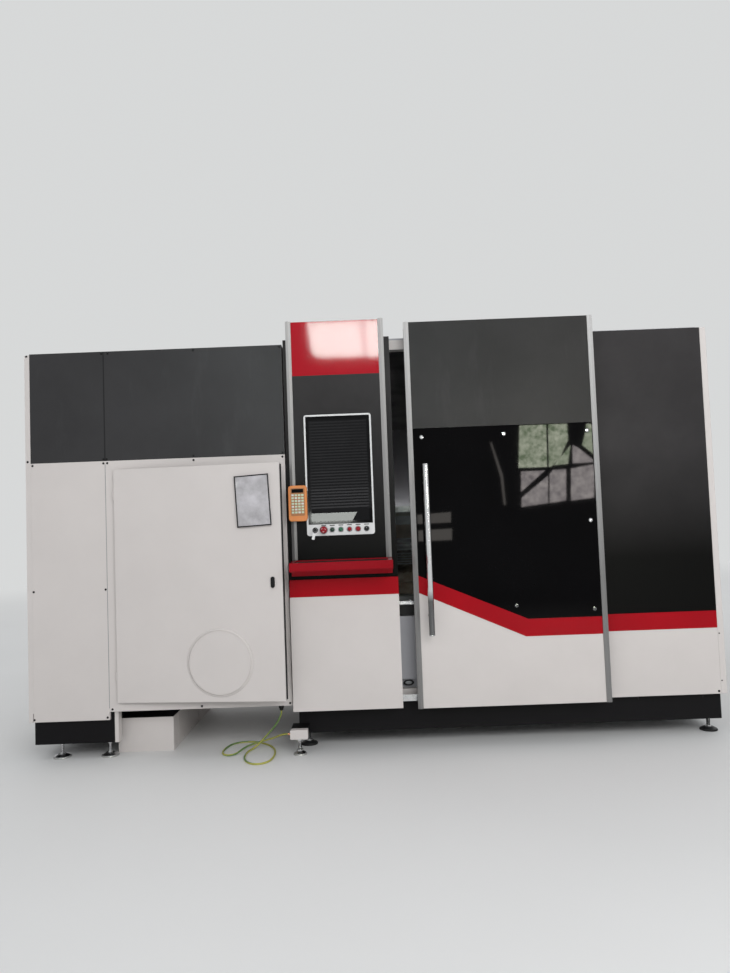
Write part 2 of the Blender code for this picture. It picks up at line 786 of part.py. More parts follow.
def make_base_frame():
    """Rectangular tube frame with two cross tubes and six levelling feet."""
    left = WALL_INNER_LEFT + SEAT_GAP
    right = WALL_INNER_RIGHT - SEAT_GAP
    front = PORTAL_BACK + SEAT_GAP
    back = REAR_Y - SEAT_GAP
    bay = (back - front - 4 * BASE_TUBE) / 3
    outlines = [rectangle(left, right, front, back)]
    for index in range(3):
        low = front + BASE_TUBE + index * (bay + BASE_TUBE)
        outlines.append(rectangle(left + BASE_TUBE, right - BASE_TUBE, low, low + bay))
    frame = prism("base_frame", outlines, "XY", BASE_BOTTOM, BASE_TOP)
    foot = levelling_foot("base_foot", STEM_RADIUS, BASE_BOTTOM + FUSE_OVERLAP, PAD_RADIUS)
    rows = [front + BASE_TUBE / 2 + index * (bay + BASE_TUBE) for index in (0, 1, 3)]
    columns = [left + BASE_TUBE / 2, right - BASE_TUBE / 2]
    places = [(x, y, 0) for y in rows for x in columns]
    fuse(frame, place_copies("base_feet", foot, places))
    return register(frame, black_paint())


def make_base_skirt():
    """Black sheet skirt that hides the feet, hung from the base frame's underside."""
    left = ENCLOSURE_LEFT + SKIRT_INSET
    right = X_RIGHT - SKIRT_INSET
    front = FRONT_Y + SKIRT_FRONT_SETBACK
    back = REAR_Y - SEAT_GAP
    sheet = SKIRT_SHEET
    ring = [rectangle(left, right, front, back),
            rectangle(left + sheet, right - sheet, front + sheet, back - sheet)]
    skirt = prism("base_skirt", ring, "XY", SKIRT_BOTTOM, BASE_BOTTOM - SEAT_GAP)
    low = PANEL_BOTTOM - SEAT_GAP
    cut(skirt, boxes("skirt_wall_clearance", [
        ((left - CUT_OVERRUN, CONSOLE_BACK, low),
         (WALL_INNER_LEFT + SEAT_GAP, back + CUT_OVERRUN, BASE_BOTTOM)),
        ((WALL_INNER_RIGHT - SEAT_GAP, FRONT_Y + PANEL_SETBACK, low),
         (right + CUT_OVERRUN, back + CUT_OVERRUN, BASE_BOTTOM))]))
    return register(skirt, black_paint())


def make_front_foot():
    """White bracket at the left front corner with its levelling foot."""
    centre_x = ENCLOSURE_LEFT + FRONT_FOOT_X
    bracket = box("front_foot",
                  (centre_x - BRACKET_WIDTH / 2, FRONT_Y - BRACKET_REACH, BRACKET_BOTTOM),
                  (centre_x + BRACKET_WIDTH / 2, FRONT_Y + SKIRT_FRONT_SETBACK - SEAT_GAP,
                   BRACKET_BOTTOM + BRACKET_HEIGHT))
    foot = levelling_foot("front_foot_stem", PLINTH_STEM, BRACKET_BOTTOM + BRACKET_HEIGHT / 2,
                          FRONT_FOOT_PAD_RADIUS)
    fuse(bracket, place_copies("front_foot_stem", foot, [(centre_x, FRONT_Y, 0)]))
    return register(bracket, white_paint())


# Cutting bed

def beam_opening_outlines():
    """Side view of the row of chamfered openings in a bed beam."""
    outlines = []
    pitch = (BED_BACK - BED_FRONT) / POCKET_COUNT
    for index in range(POCKET_COUNT):
        middle = BED_FRONT + (index + 0.5) * pitch
        near = middle - POCKET_LENGTH / 2
        far = middle + POCKET_LENGTH / 2
        chamfer = POCKET_CHAMFER
        outlines.append([
            (near + chamfer, POCKET_LOW), (far - chamfer, POCKET_LOW),
            (far, POCKET_LOW + chamfer), (far, POCKET_HIGH - chamfer),
            (far - chamfer, POCKET_HIGH), (near + chamfer, POCKET_HIGH),
            (near, POCKET_HIGH - chamfer), (near, POCKET_LOW + chamfer)])
    return outlines


def make_bed_frame():
    """Welded bed: two side beams with linear rails, joined by cross members."""
    half = BED_SIDE / 2
    low = BASE_TOP + SEAT_GAP
    bed = box("bed_frame", (RAIL_LEFT_X - half, BED_FRONT, low),
              (RAIL_LEFT_X + half, BED_BACK, BED_TOP))
    fuse(bed, boxes("bed_right_beam", [((RAIL_RIGHT_X - half, BED_FRONT, low),
                                        (RAIL_RIGHT_X + half, BED_BACK, BED_TOP))]))
    cut(bed, prism("beam_openings", beam_opening_outlines(), "YZ",
                   RAIL_LEFT_X - BED_SIDE, RAIL_RIGHT_X + BED_SIDE))
    pieces = []
    pitch = (BED_BACK - BED_FRONT) / CROSS_COUNT
    for index in range(CROSS_COUNT + 1):
        near = BED_FRONT + index * pitch - CROSS_WIDTH / 2
        near = min(max(near, BED_FRONT + FUSE_OVERLAP), BED_BACK - CROSS_WIDTH - FUSE_OVERLAP)
        pieces.append(((RAIL_LEFT_X + half - FUSE_OVERLAP, near, CROSS_BOTTOM),
                       (RAIL_RIGHT_X - half + FUSE_OVERLAP, near + CROSS_WIDTH, CROSS_TOP)))
    for rail_x in (RAIL_LEFT_X, RAIL_RIGHT_X):
        pieces.append(((rail_x - RAIL_WIDTH / 2, BED_FRONT + FUSE_OVERLAP,
                        BED_TOP - FUSE_OVERLAP),
                       (rail_x + RAIL_WIDTH / 2, BED_BACK - FUSE_OVERLAP, RAIL_TOP)))
    fuse(bed, boxes("bed_cross_members", pieces))
    return register(bed, cast_grey())


def slat_outline():
    """Front view of one sheet-metal slat with pointed teeth along its top."""
    left = BED_CENTRE_X - TABLE_WIDTH / 2 + SLAT_END_MARGIN
    right = BED_CENTRE_X + TABLE_WIDTH / 2 - SLAT_END_MARGIN
    pitch = (right - left) / SLAT_TEETH
    points = [(left, SLAT_BOTTOM), (right, SLAT_BOTTOM)]
    for index in range(SLAT_TEETH, 0, -1):
        points.append((left + index * pitch, SLAT_VALLEY))
        points.append((left + (index - 0.5) * pitch, SLAT_TIP))
    points.append((left, SLAT_VALLEY))
    return points


def make_slat_table():
    """Frame of four bars with a row of toothed slats set into it."""
    left = BED_CENTRE_X - TABLE_WIDTH / 2
    right = BED_CENTRE_X + TABLE_WIDTH / 2
    front = FRONT_Y + TABLE_FRONT_SETBACK
    back = front + TABLE_LENGTH
    ring = [rectangle(left, right, front, back),
            rectangle(left + TABLE_BAR, right - TABLE_BAR, front + TABLE_BAR, back - TABLE_BAR)]
    table = prism("slat_table", ring, "XY", CROSS_TOP + SEAT_GAP, TABLE_BAR_TOP)
    slat = prism("slat", [slat_outline()], "XZ", -SLAT_THICKNESS / 2, SLAT_THICKNESS / 2)
    apply_place(slat)
    pitch = (TABLE_LENGTH - 2 * TABLE_BAR) / SLAT_COUNT
    places = [(0, front + TABLE_BAR + (index + 0.5) * pitch, 0) for index in range(SLAT_COUNT)]
    fuse(table, place_copies("slats", slat, places))
    return register(table, steel())


def apply_place(obj):
    """Move an object's place into its mesh."""
    bpy.context.view_layer.update()
    obj.data.transform(obj.matrix_world)
    obj.location = (0, 0, 0)
    obj.rotation_euler = (0, 0, 0)


# Enclosure

def make_side_walls():
    """White side walls, whose front edges show as the corner posts."""
    right = box("right_wall", (X_RIGHT - WALL, FRONT_Y + PANEL_SETBACK, PANEL_BOTTOM),
                (X_RIGHT, REAR_Y, PANEL_TOP), bevel=FUSE_OVERLAP)
    register(right, white_paint())
    left = box("left_wall", (ENCLOSURE_LEFT, CONSOLE_BACK + SEAT_GAP, PANEL_BOTTOM),
               (ENCLOSURE_LEFT + WALL, REAR_Y, PANEL_TOP), bevel=FUSE_OVERLAP)
    register(left, white_paint())


def lift_door_span():
    """Left, right, bottom and top of the rear lifting door when it is shut."""
    left = BED_CENTRE_X - SLOT_WIDTH / 2 - LIFT_OVERLAP
    right = BED_CENTRE_X + SLOT_WIDTH / 2 + LIFT_OVERLAP
    return left, right, SLOT_BOTTOM - LIFT_OVERLAP, SLOT_TOP + LIFT_OVERLAP


def make_rear_wall():
    """Rear wall with the sheet loading slot and the guides of its lifting door."""
    front = REAR_Y + SEAT_GAP
    back = front + WALL
    slot = rectangle(BED_CENTRE_X - SLOT_WIDTH / 2, BED_CENTRE_X + SLOT_WIDTH / 2,
                     SLOT_BOTTOM, SLOT_TOP)
    outer = rectangle(ENCLOSURE_LEFT, X_RIGHT, PANEL_BOTTOM, PANEL_TOP)
    wall = prism("rear_wall", [outer, slot], "XZ", front, back)
    left, right, low, high = lift_door_span()
    guide_low = low - LIFT_STOP
    guide_high = high + LIFT_TRAVEL + LIFT_STOP
    guides = []
    for near in (left + LIFT_GUIDE_BITE - LIFT_GUIDE_WIDTH, right - LIFT_GUIDE_BITE):
        guides.append(((near, back - FUSE_OVERLAP, guide_low),
                       (near + LIFT_GUIDE_WIDTH, back + REAR_GUIDE_DEPTH, guide_high)))
    fuse(wall, boxes("rear_guides", guides))
    groove = ((left - RUNNING_GAP, LIFT_FRONT - RUNNING_GAP, low - RUNNING_GAP),
              (right + RUNNING_GAP, LIFT_FRONT + LIFT_THICKNESS + RUNNING_GAP,
               guide_high + CUT_OVERRUN))
    cut(wall, boxes("rear_guide_grooves", [groove]))
    return register(wall, white_paint())


def make_rear_door():
    """Lifting door over the rear slot: a slab with three pressed ribs."""
    left, right, low, high = lift_door_span()
    carrier = pivot("rear_door_axis", (BED_CENTRE_X, LIFT_FRONT, low))
    half = (right - left) / 2
    height = high - low
    door = box("rear_door", (-half, 0, 0), (half, LIFT_THICKNESS, height))
    return register(door, dark_paint(), carrier)


def make_roof():
    """Roof slab, notched round the console tower."""
    left = ENCLOSURE_LEFT + ROOF_INSET
    right = X_RIGHT - ROOF_INSET
    front = FRONT_Y + ROOF_SETBACK
    back = REAR_Y + SEAT_GAP + WALL - ROOF_INSET
    notch_x = CONSOLE_RIGHT + SEAT_GAP
    notch_y = CONSOLE_BACK + SEAT_GAP
    outline = [(left, notch_y), (notch_x, notch_y), (notch_x, front), (right, front),
               (right, back), (left, back)]
    low = PANEL_TOP + SEAT_GAP
    roof = prism("roof", [outline], "XY", low, low + ROOF_THICKNESS)
    return register(roof, grey_paint())


def make_front_frame():
    """Portal of the doorway: header, right jamb and sill beam, open at the console."""
    left = CONSOLE_RIGHT + SEAT_GAP
    right = WALL_INNER_RIGHT - SEAT_GAP
    low = BASE_BOTTOM
    sill = BASE_BOTTOM + BASE_TUBE
    header = PANEL_TOP - HEADER_HEIGHT
    jamb = DOORWAY_RIGHT
    outline = [(left, low), (right, low), (right, PANEL_TOP), (left, PANEL_TOP),
               (left, header), (jamb, header), (jamb, sill), (left, sill)]
    window = rectangle(jamb + JAMB_WIDTH, right - JAMB_WIDTH, sill, header)
    frame = prism("front_frame", [outline, window], "XZ", PORTAL_FRONT, PORTAL_BACK)
    return register(frame, white_paint())


def make_front_apron():
    """Folded grey apron below the doorway, with a white sill lip on top."""
    face = FRONT_Y + APRON_SETBACK
    back = face + APRON_BACK
    recess = face + APRON_STEP
    low = BASE_BOTTOM + BASE_TUBE + SEAT_GAP
    section = [(back, low), (back, APRON_TOP_Z), (face, APRON_TOP_Z), (face, APRON_LIP_Z),
               (recess, APRON_LIP_Z), (recess, APRON_PANEL_TOP), (face, APRON_PANEL_TOP),
               (face, APRON_PANEL_BOTTOM), (recess, APRON_PANEL_BOTTOM), (recess, low)]
    apron = prism("front_apron", [section], "YZ", CONSOLE_RIGHT + SEAT_GAP,
                  DOORWAY_RIGHT - SEAT_GAP)
    return register(apron, grey_paint())


def make_door_rails():
    """Linear rail on the header and guide rail on the sill beam."""
    top = box("door_rail_top", (CONSOLE_RIGHT + SEAT_GAP, TOP_RAIL_FRONT, TOP_RAIL_BOTTOM),
              (WALL_INNER_RIGHT - SEAT_GAP, TOP_RAIL_FRONT + TOP_RAIL_WIDTH, TOP_RAIL_TOP))
    register(top, steel())
    back = PORTAL_FRONT - SEAT_GAP
    section = [(GUIDE_FRONT, GUIDE_BOTTOM), (back, GUIDE_BOTTOM),
               (back, GUIDE_BOTTOM + GUIDE_FIN), (GUIDE_FRONT + GUIDE_FIN, GUIDE_BOTTOM + GUIDE_FIN),
               (GUIDE_FRONT + GUIDE_FIN, GUIDE_TOP), (GUIDE_FRONT, GUIDE_TOP)]
    bottom = prism("door_rail_bottom", [section], "YZ", CONSOLE_RIGHT + SEAT_GAP,
                   DOORWAY_RIGHT - SEAT_GAP)
    register(bottom, steel())


def make_right_panels():
    """Fixed panels right of the doorway: dark, red band and white."""
    left = DOORWAY_RIGHT
    right = WALL_INNER_RIGHT - SEAT_GAP
    front = FRONT_Y + PANEL_SETBACK
    band_top = BAND_LOWER_Z + BAND_HEIGHT
    rows = [("right_upper_panel", band_top + SEAT_GAP, PANEL_TOP, dark_paint()),
            ("right_red_band", BAND_LOWER_Z, band_top, red_paint()),
            ("right_lower_panel", PANEL_BOTTOM, BAND_LOWER_Z - SEAT_GAP, white_paint())]
    for name, low, high, paint in rows:
        register(pan(name, [rectangle(left, right, low, high)], front, PANEL_DEPTH), paint)


# Sliding door, in coordinates whose x starts at its left edge and y at its face

def door_skin_span():
    """Left and right of the skins between the door's trims."""
    return TRIM_WIDTH + SEAT_GAP, DOOR_WIDTH - TRIM_WIDTH - SEAT_GAP


def band_line(left, right, upper, lower, bend):
    """One edge of the stepped band, from left to right."""
    return [(left, upper), (bend, lower), (right, lower)]


def make_door_frame(carrier):
    """Welded door frame with its hangers on the top rail and its bottom guide shoe."""
    left = DOOR_EDGE_INSET
    right = DOOR_WIDTH - DOOR_EDGE_INSET
    low = DOOR_BOTTOM + DOOR_EDGE_INSET
    high = DOOR_TOP - DOOR_EDGE_INSET
    inner_left = left + DOOR_TUBE
    inner_right = right - DOOR_TUBE
    rail_low = GLASS_TOP - WINDOW_RAIL / 2
    band_top = BAND_LOWER_Z + BAND_HEIGHT
    window = [(inner_left, BAND_UPPER_Z + BAND_HEIGHT + DOOR_TUBE),
              (BAND_BEND_TOP, band_top + DOOR_TUBE), (inner_right, band_top + DOOR_TUBE),
              (inner_right, rail_low), (inner_left, rail_low)]
    outlines = [rectangle(left, right, low, high),
                rectangle(inner_left, inner_right, rail_low + WINDOW_RAIL, high - DOOR_TUBE),
                window,
                rectangle(inner_left, inner_right, low + DOOR_TUBE, BAND_LOWER_Z - DOOR_TUBE)]
    front = DOOR_SKIN + SEAT_GAP
    back = front + DOOR_FRAME_DEPTH
    frame = prism("door_frame", outlines, "XZ", front, back)
    top_rail = TOP_RAIL_FRONT - FRONT_Y
    hangers = []
    for middle in (HANGER_INSET, DOOR_WIDTH - HANGER_INSET):
        hangers.append(((middle - HANGER_WIDTH / 2, back - FUSE_OVERLAP,
                         PANEL_TOP + HANGER_CLEARANCE),
                        (middle + HANGER_WIDTH / 2, top_rail + TOP_RAIL_WIDTH + HANGER_BACK,
                         PANEL_TOP + HANGER_CLEARANCE + HANGER_HEIGHT)))
    hangers.append(((SHOE_INSET, back - FUSE_OVERLAP, SHOE_BOTTOM),
                    (SHOE_INSET + SHOE_WIDTH, GUIDE_SETBACK + GUIDE_FIN + SHOE_CHEEK,
                     SHOE_BOTTOM + SHOE_HEIGHT)))
    fuse(frame, boxes("door_hangers", hangers))
    grooves = [((0, top_rail - RUNNING_GAP, PANEL_TOP),
                (DOOR_WIDTH, top_rail + TOP_RAIL_WIDTH + RUNNING_GAP,
                 TOP_RAIL_TOP + SEAT_GAP)),
               ((0, GUIDE_SETBACK - RUNNING_GAP, BASE_BOTTOM),
                (DOOR_WIDTH / 2, GUIDE_SETBACK + GUIDE_FIN + RUNNING_GAP,
                 GUIDE_TOP + RUNNING_GAP))]
    cut(frame, boxes("door_grooves", grooves))
    return register(frame, grey_paint(), carrier)


def make_door_skins(carrier):
    """Dark upper panel, dark glass, red band and white lower panel of the door."""
    left, right = door_skin_span()
    upper = pan("door_upper_panel", [rectangle(left, right, GLASS_TOP + SEAT_GAP, DOOR_TOP)],
                0, DOOR_SKIN)
    register(upper, dark_paint(), carrier)
    band_top = band_line(left, right, BAND_UPPER_Z + BAND_HEIGHT, BAND_LOWER_Z + BAND_HEIGHT,
                         BAND_BEND_TOP)
    band_bottom = band_line(left, right, BAND_UPPER_Z, BAND_LOWER_Z, BAND_BEND_BOTTOM)
    glass_low = [(x, z + SEAT_GAP) for x, z in band_top]
    glass = prism("door_window", [glass_low + [(right, GLASS_TOP), (left, GLASS_TOP)]], "XZ",
                  DOOR_SKIN - GLASS_THICKNESS, DOOR_SKIN)
    register(glass, black_glass(), carrier)
    band = prism("door_red_band", [band_bottom + band_top[::-1]], "XZ", 0, DOOR_SKIN)
    register(band, red_paint(), carrier)
    panel_top = [(x, z - SEAT_GAP) for x, z in band_bottom]
    lower = pan("door_lower_panel",
                [[(left, DOOR_BOTTOM), (right, DOOR_BOTTOM)] + panel_top[::-1]], 0, DOOR_SKIN)
    register(lower, white_paint(), carrier)


def trim_section(left, width, back):
    """Plan of a trim: a shallow ridge in front, flat behind."""
    return [(left, back), (left, -TRIM_SHOULDER), (left + width / 2, -TRIM_PROUD),
            (left + width, -TRIM_SHOULDER), (left + width, back)]


def make_door_trims(carrier):
    """Aluminium trims up both sides of the door."""
    for name, left in (("door_trim_left", 0), ("door_trim_right", DOOR_WIDTH - TRIM_WIDTH)):
        trim = prism(name, [trim_section(left, TRIM_WIDTH, DOOR_SKIN)], "XY", DOOR_BOTTOM,
                     DOOR_TOP)
        register(trim, silver(), carrier)


def add_cylinder(shape, start, axis, length, radius, segments):
    """Add a cylinder from a start point along a world axis to a bmesh."""
    made = bmesh.ops.create_cone(shape, cap_ends=True, segments=segments, radius1=radius,
                                 radius2=radius, depth=length)
    for vert in made["verts"]:
        x, y, z = vert.co
        if axis == "Y":
            x, y, z = x, z, -y
        elif axis == "X":
            x, y, z = z, y, -x
        offset = {"X": (length / 2, 0, 0), "Y": (0, length / 2, 0), "Z": (0, 0, length / 2)}[axis]
        vert.co = (start[0] + x + offset[0], start[1] + y + offset[1], start[2] + z + offset[2])


def cylinders(name, rows, segments=FOOT_STEPS):
    """Several cylinders in one mesh: start point, axis, length and radius of each."""
    def build(shape):
        for start, axis, length, radius in rows:
            add_cylinder(shape, start, axis, length, radius, segments)
    return mesh_object(name, build)


def make_door_handle(carrier):
    """Long upright tube on two posts."""
    x = HANDLE_INSET
    handle = cylinders("door_handle", [((x, -HANDLE_REACH, HANDLE_BOTTOM), "Z",
                                        HANDLE_TOP - HANDLE_BOTTOM, HANDLE_RADIUS)])
    glass_face = DOOR_SKIN - GLASS_THICKNESS
    low_post = HANDLE_BOTTOM + HANDLE_POST_INSET
    high_post = HANDLE_TOP - HANDLE_POST_INSET
    posts = [((x, -HANDLE_REACH, low_post), "Y", HANDLE_REACH - SEAT_GAP, HANDLE_POST_RADIUS),
             ((x, -HANDLE_REACH, high_post), "Y", HANDLE_REACH + glass_face - SEAT_GAP,
              HANDLE_POST_RADIUS)]
    fuse(handle, cylinders("door_handle_posts", posts))
    return register(handle, steel(), carrier)


def make_sliding_door():
    """All pieces that slide together along the front."""
    carrier = pivot("sliding_door_axis", (DOOR_LEFT, FRONT_Y, 0))
    make_door_frame(carrier)
    make_door_skins(carrier)
    make_door_trims(carrier)
    make_door_handle(carrier)


# Operator console

def make_console_body():
    """Console housing: wide foot, narrower tower and the post beside it."""
    left = CONSOLE_LEFT
    right = CONSOLE_RIGHT
    low = BASE_TOP + SEAT_GAP
    top = MACHINE_HEIGHT - CONSOLE_CAP
    outline = [(left, low), (right, low), (right, CONSOLE_SHOULDER_Z),
               (TOWER_RIGHT, CONSOLE_SHOULDER_Z), (TOWER_RIGHT, top), (TOWER_LEFT, top),
               (TOWER_LEFT, CONSOLE_SHOULDER_Z), (left, CONSOLE_SHOULDER_Z)]
    body = prism("console_body", [outline], "XZ", FRONT_Y + CONSOLE_SKIN + SEAT_GAP,
                 CONSOLE_BACK)
    return register(body, dark_paint())


def make_console_skins():
    """Front covers of the console from the red top to the white foot."""
    left = TOWER_LEFT + CONSOLE_TRIM + SEAT_GAP
    right = TOWER_RIGHT - CONSOLE_TRIM - SEAT_GAP
    top = MACHINE_HEIGHT - CONSOLE_CAP
    band_top = BAND_UPPER_Z + BAND_HEIGHT
    rows = [
        ("console_top_cover", left, right, CONSOLE_RED_Z, top, red_paint()),
        ("console_face", left, right, TRAY_TOP + SEAT_GAP, CONSOLE_RED_Z - SEAT_GAP, dark_paint()),
        ("console_red_band", CONSOLE_LEFT, CONSOLE_RIGHT, BAND_UPPER_Z, band_top, red_paint()),
        ("console_lower_cover", CONSOLE_LEFT, CONSOLE_RIGHT, PANEL_BOTTOM,
         BAND_UPPER_Z - SEAT_GAP, white_paint())]
    for name, low_x, high_x, low_z, high_z, paint in rows:
        cover = pan(name, [rectangle(low_x, high_x, low_z, high_z)], FRONT_Y, CONSOLE_SKIN)
        register(cover, paint)


def make_console_trims():
    """Aluminium trims up both sides of the tower."""
    for name, left in (("console_trim_left", TOWER_LEFT),
                       ("console_trim_right", TOWER_RIGHT - CONSOLE_TRIM)):
        section = [(x, FRONT_Y + y) for x, y in trim_section(left, CONSOLE_TRIM, CONSOLE_SKIN)]
        trim = prism(name, [section], "XY", TRAY_TOP + SEAT_GAP, MACHINE_HEIGHT)
        register(trim, silver())


def make_keyboard_tray():
    """Red desk in front of the console, with a shallow recess for the keyboard."""
    front = FRONT_Y - TRAY_REACH
    back = FRONT_Y + CONSOLE_SKIN
    step = FRONT_Y - TRAY_STEP_SETBACK
    section = [(back, TRAY_BOTTOM), (back, TRAY_TOP), (front + TRAY_EDGE, TRAY_FRONT_TOP),
               (front, TRAY_FRONT_TOP - TRAY_EDGE), (front, TRAY_LIP_BOTTOM + TRAY_EDGE),
               (front + TRAY_EDGE, TRAY_LIP_BOTTOM), (step - TRAY_RIM, TRAY_LIP_BOTTOM),
               (step, TRAY_BOTTOM)]
    tray = prism("keyboard_tray", [section], "YZ", TOWER_LEFT, TOWER_RIGHT)
    recess = ((TOWER_LEFT + TRAY_RIM, front + TRAY_RIM, TRAY_FRONT_TOP - TRAY_RECESS),
              (TOWER_RIGHT - TRAY_RIM, FRONT_Y - TRAY_RIM / 2, TRAY_TOP + CUT_OVERRUN))
    cut(tray, boxes("tray_recess", [recess]))
    return register(tray, red_paint())


def control_x(index):
    """Middle of a control in the row of seven under the screen."""
    return TOWER_CENTRE + (index - 3) * CONTROL_PITCH


def make_monitor():
    """Monitor bezel with its screen and the seven holes of the control strip."""
    outlines = [rounded_rectangle(MONITOR_LEFT, MONITOR_RIGHT, MONITOR_BOTTOM, MONITOR_TOP,
                                  MONITOR_CORNER),
                rectangle(MONITOR_LEFT + BEZEL_SIDE, MONITOR_RIGHT - BEZEL_SIDE, SCREEN_BOTTOM,
                          SCREEN_TOP)]
    for index in range(7):
        outlines.append(circle(control_x(index), CONTROL_Z, CONTROL_STEM + RUNNING_GAP,
                               CONTROL_SEGMENTS))
    bezel = prism("monitor_bezel", outlines, "XZ", MONITOR_FACE, FRONT_Y - SEAT_GAP)
    register(bezel, white_plastic())
    screen = prism("monitor_screen",
                   [rectangle(MONITOR_LEFT + BEZEL_SIDE + SEAT_GAP,
                              MONITOR_RIGHT - BEZEL_SIDE - SEAT_GAP,
                              SCREEN_BOTTOM + SEAT_GAP, SCREEN_TOP - SEAT_GAP)],
                   "XZ", FRONT_Y - SEAT_GAP - SCREEN_THICKNESS, FRONT_Y - SEAT_GAP)
    register(screen, black_glass())


def control(name, index, profile, paint):
    """A turned control on its own pivot, its axis pointing out of the strip."""
    carrier = pivot(name + "_axis", (control_x(index), MONITOR_FACE, CONTROL_Z))
    piece = turned(name, profile, CONTROL_SEGMENTS)
    piece.rotation_euler = (math.pi / 2, 0, 0)
    apply_place(piece)
    smooth(piece)
    register(piece, paint, carrier)
    return piece


def button_profile(cap_radius, cap_depth, gap):
    """A flat push button: cap, then the stem that runs in the bezel."""
    top = gap + cap_depth
    return [(0, top), (cap_radius * 0.8, top), (cap_radius, top - cap_depth / 4),
            (cap_radius, gap), (CONTROL_STEM, gap), (CONTROL_STEM, -CONTROL_STEM_DEPTH),
            (0, -CONTROL_STEM_DEPTH)]


def make_emergency_stop():
    """Mushroom-head stop button."""
    gap = CONTROL_TRAVEL + RUNNING_GAP
    top = gap + ESTOP_DEPTH
    radius = ESTOP_RADIUS
    profile = [(0, top), (radius * 0.5, top), (radius * 0.85, top - ESTOP_DEPTH / 8),
               (radius, top - ESTOP_DEPTH / 3), (radius, top - ESTOP_DEPTH / 2),
               (radius * 0.6, top - ESTOP_DEPTH * 0.7), (radius * 0.6, gap),
               (CONTROL_STEM, gap), (CONTROL_STEM, -CONTROL_STEM_DEPTH),
               (0, -CONTROL_STEM_DEPTH)]
    control("emergency_stop", 1, profile, red_plastic())


def make_key_switch():
    """Key switch: barrel with its key left in it."""
    gap = SEAT_GAP
    profile = [(0, gap + KEY_BARREL), (KEY_BARREL, gap + KEY_BARREL), (KEY_BARREL, gap),
               (CONTROL_STEM, gap), (CONTROL_STEM, -CONTROL_STEM_DEPTH),
               (0, -CONTROL_STEM_DEPTH)]
    barrel = control("key_switch", 0, profile, steel())
    blade_start = -gap - KEY_BARREL + FUSE_OVERLAP
    blade_end = blade_start - KEY_BLADE
    fuse(barrel, boxes("key_blade", [
        ((-KEY_THICKNESS / 2, blade_end, -KEY_BOW_WIDTH / 5),
         (KEY_THICKNESS / 2, blade_start, KEY_BOW_WIDTH / 5))]))
    fuse(barrel, boxes("key_bow", [
        ((-KEY_THICKNESS, blade_end - KEY_BOW_LENGTH + FUSE_OVERLAP, -KEY_BOW_WIDTH / 2),
         (KEY_THICKNESS, blade_end + FUSE_OVERLAP, KEY_BOW_WIDTH / 2))]))


def make_selector_knob():
    """Black selector with a raised grip across it."""
    gap = SEAT_GAP
    profile = [(0, gap + KNOB_DEPTH / 2), (KNOB_RADIUS, gap + KNOB_DEPTH / 2), (KNOB_RADIUS, gap),
               (CONTROL_STEM, gap), (CONTROL_STEM, -CONTROL_STEM_DEPTH),
               (0, -CONTROL_STEM_DEPTH)]
    knob = control("selector_knob", 6, profile, black_plastic())
    fuse(knob, boxes("knob_grip", [
        ((-KNOB_GRIP / 2, -gap - KNOB_DEPTH, -KNOB_RADIUS * 0.9),
         (KNOB_GRIP / 2, -gap - KNOB_DEPTH / 2 + FUSE_OVERLAP, KNOB_RADIUS * 0.9))]))


def make_controls():
    """The seven controls in the strip under the screen, from left to right."""
    make_key_switch()
    make_emergency_stop()
    gap = CONTROL_TRAVEL + RUNNING_GAP
    flat = button_profile(CONTROL_CAP, CONTROL_CAP_DEPTH, gap)
    large = button_profile(CONTROL_CAP_LARGE, CONTROL_CAP_DEPTH, gap)
    control("push_button_1", 2, flat, green_plastic())
    control("push_button_2", 3, flat, green_plastic())
    control("push_button_3", 4, flat, red_plastic())
    control("push_button_4", 5, large, red_plastic())
    make_selector_knob()


def make_hand_pendant():
    """Orange hand pendant held on the left trim by its magnetic back."""
    left = TOWER_LEFT - PENDANT_OVERHANG
    back = MONITOR_FACE - SEAT_GAP
    outline = rounded_rectangle(left, left + PENDANT_WIDTH, PENDANT_BOTTOM,
                                PENDANT_BOTTOM + PENDANT_HEIGHT, PENDANT_CORNER, 3)
    pendant = prism("hand_pendant", [outline], "XZ", back - PENDANT_THICKNESS, back)
    ease_edges(pendant, PENDANT_EDGE)
    return register(pendant, orange_plastic())


# Electrical cabinet

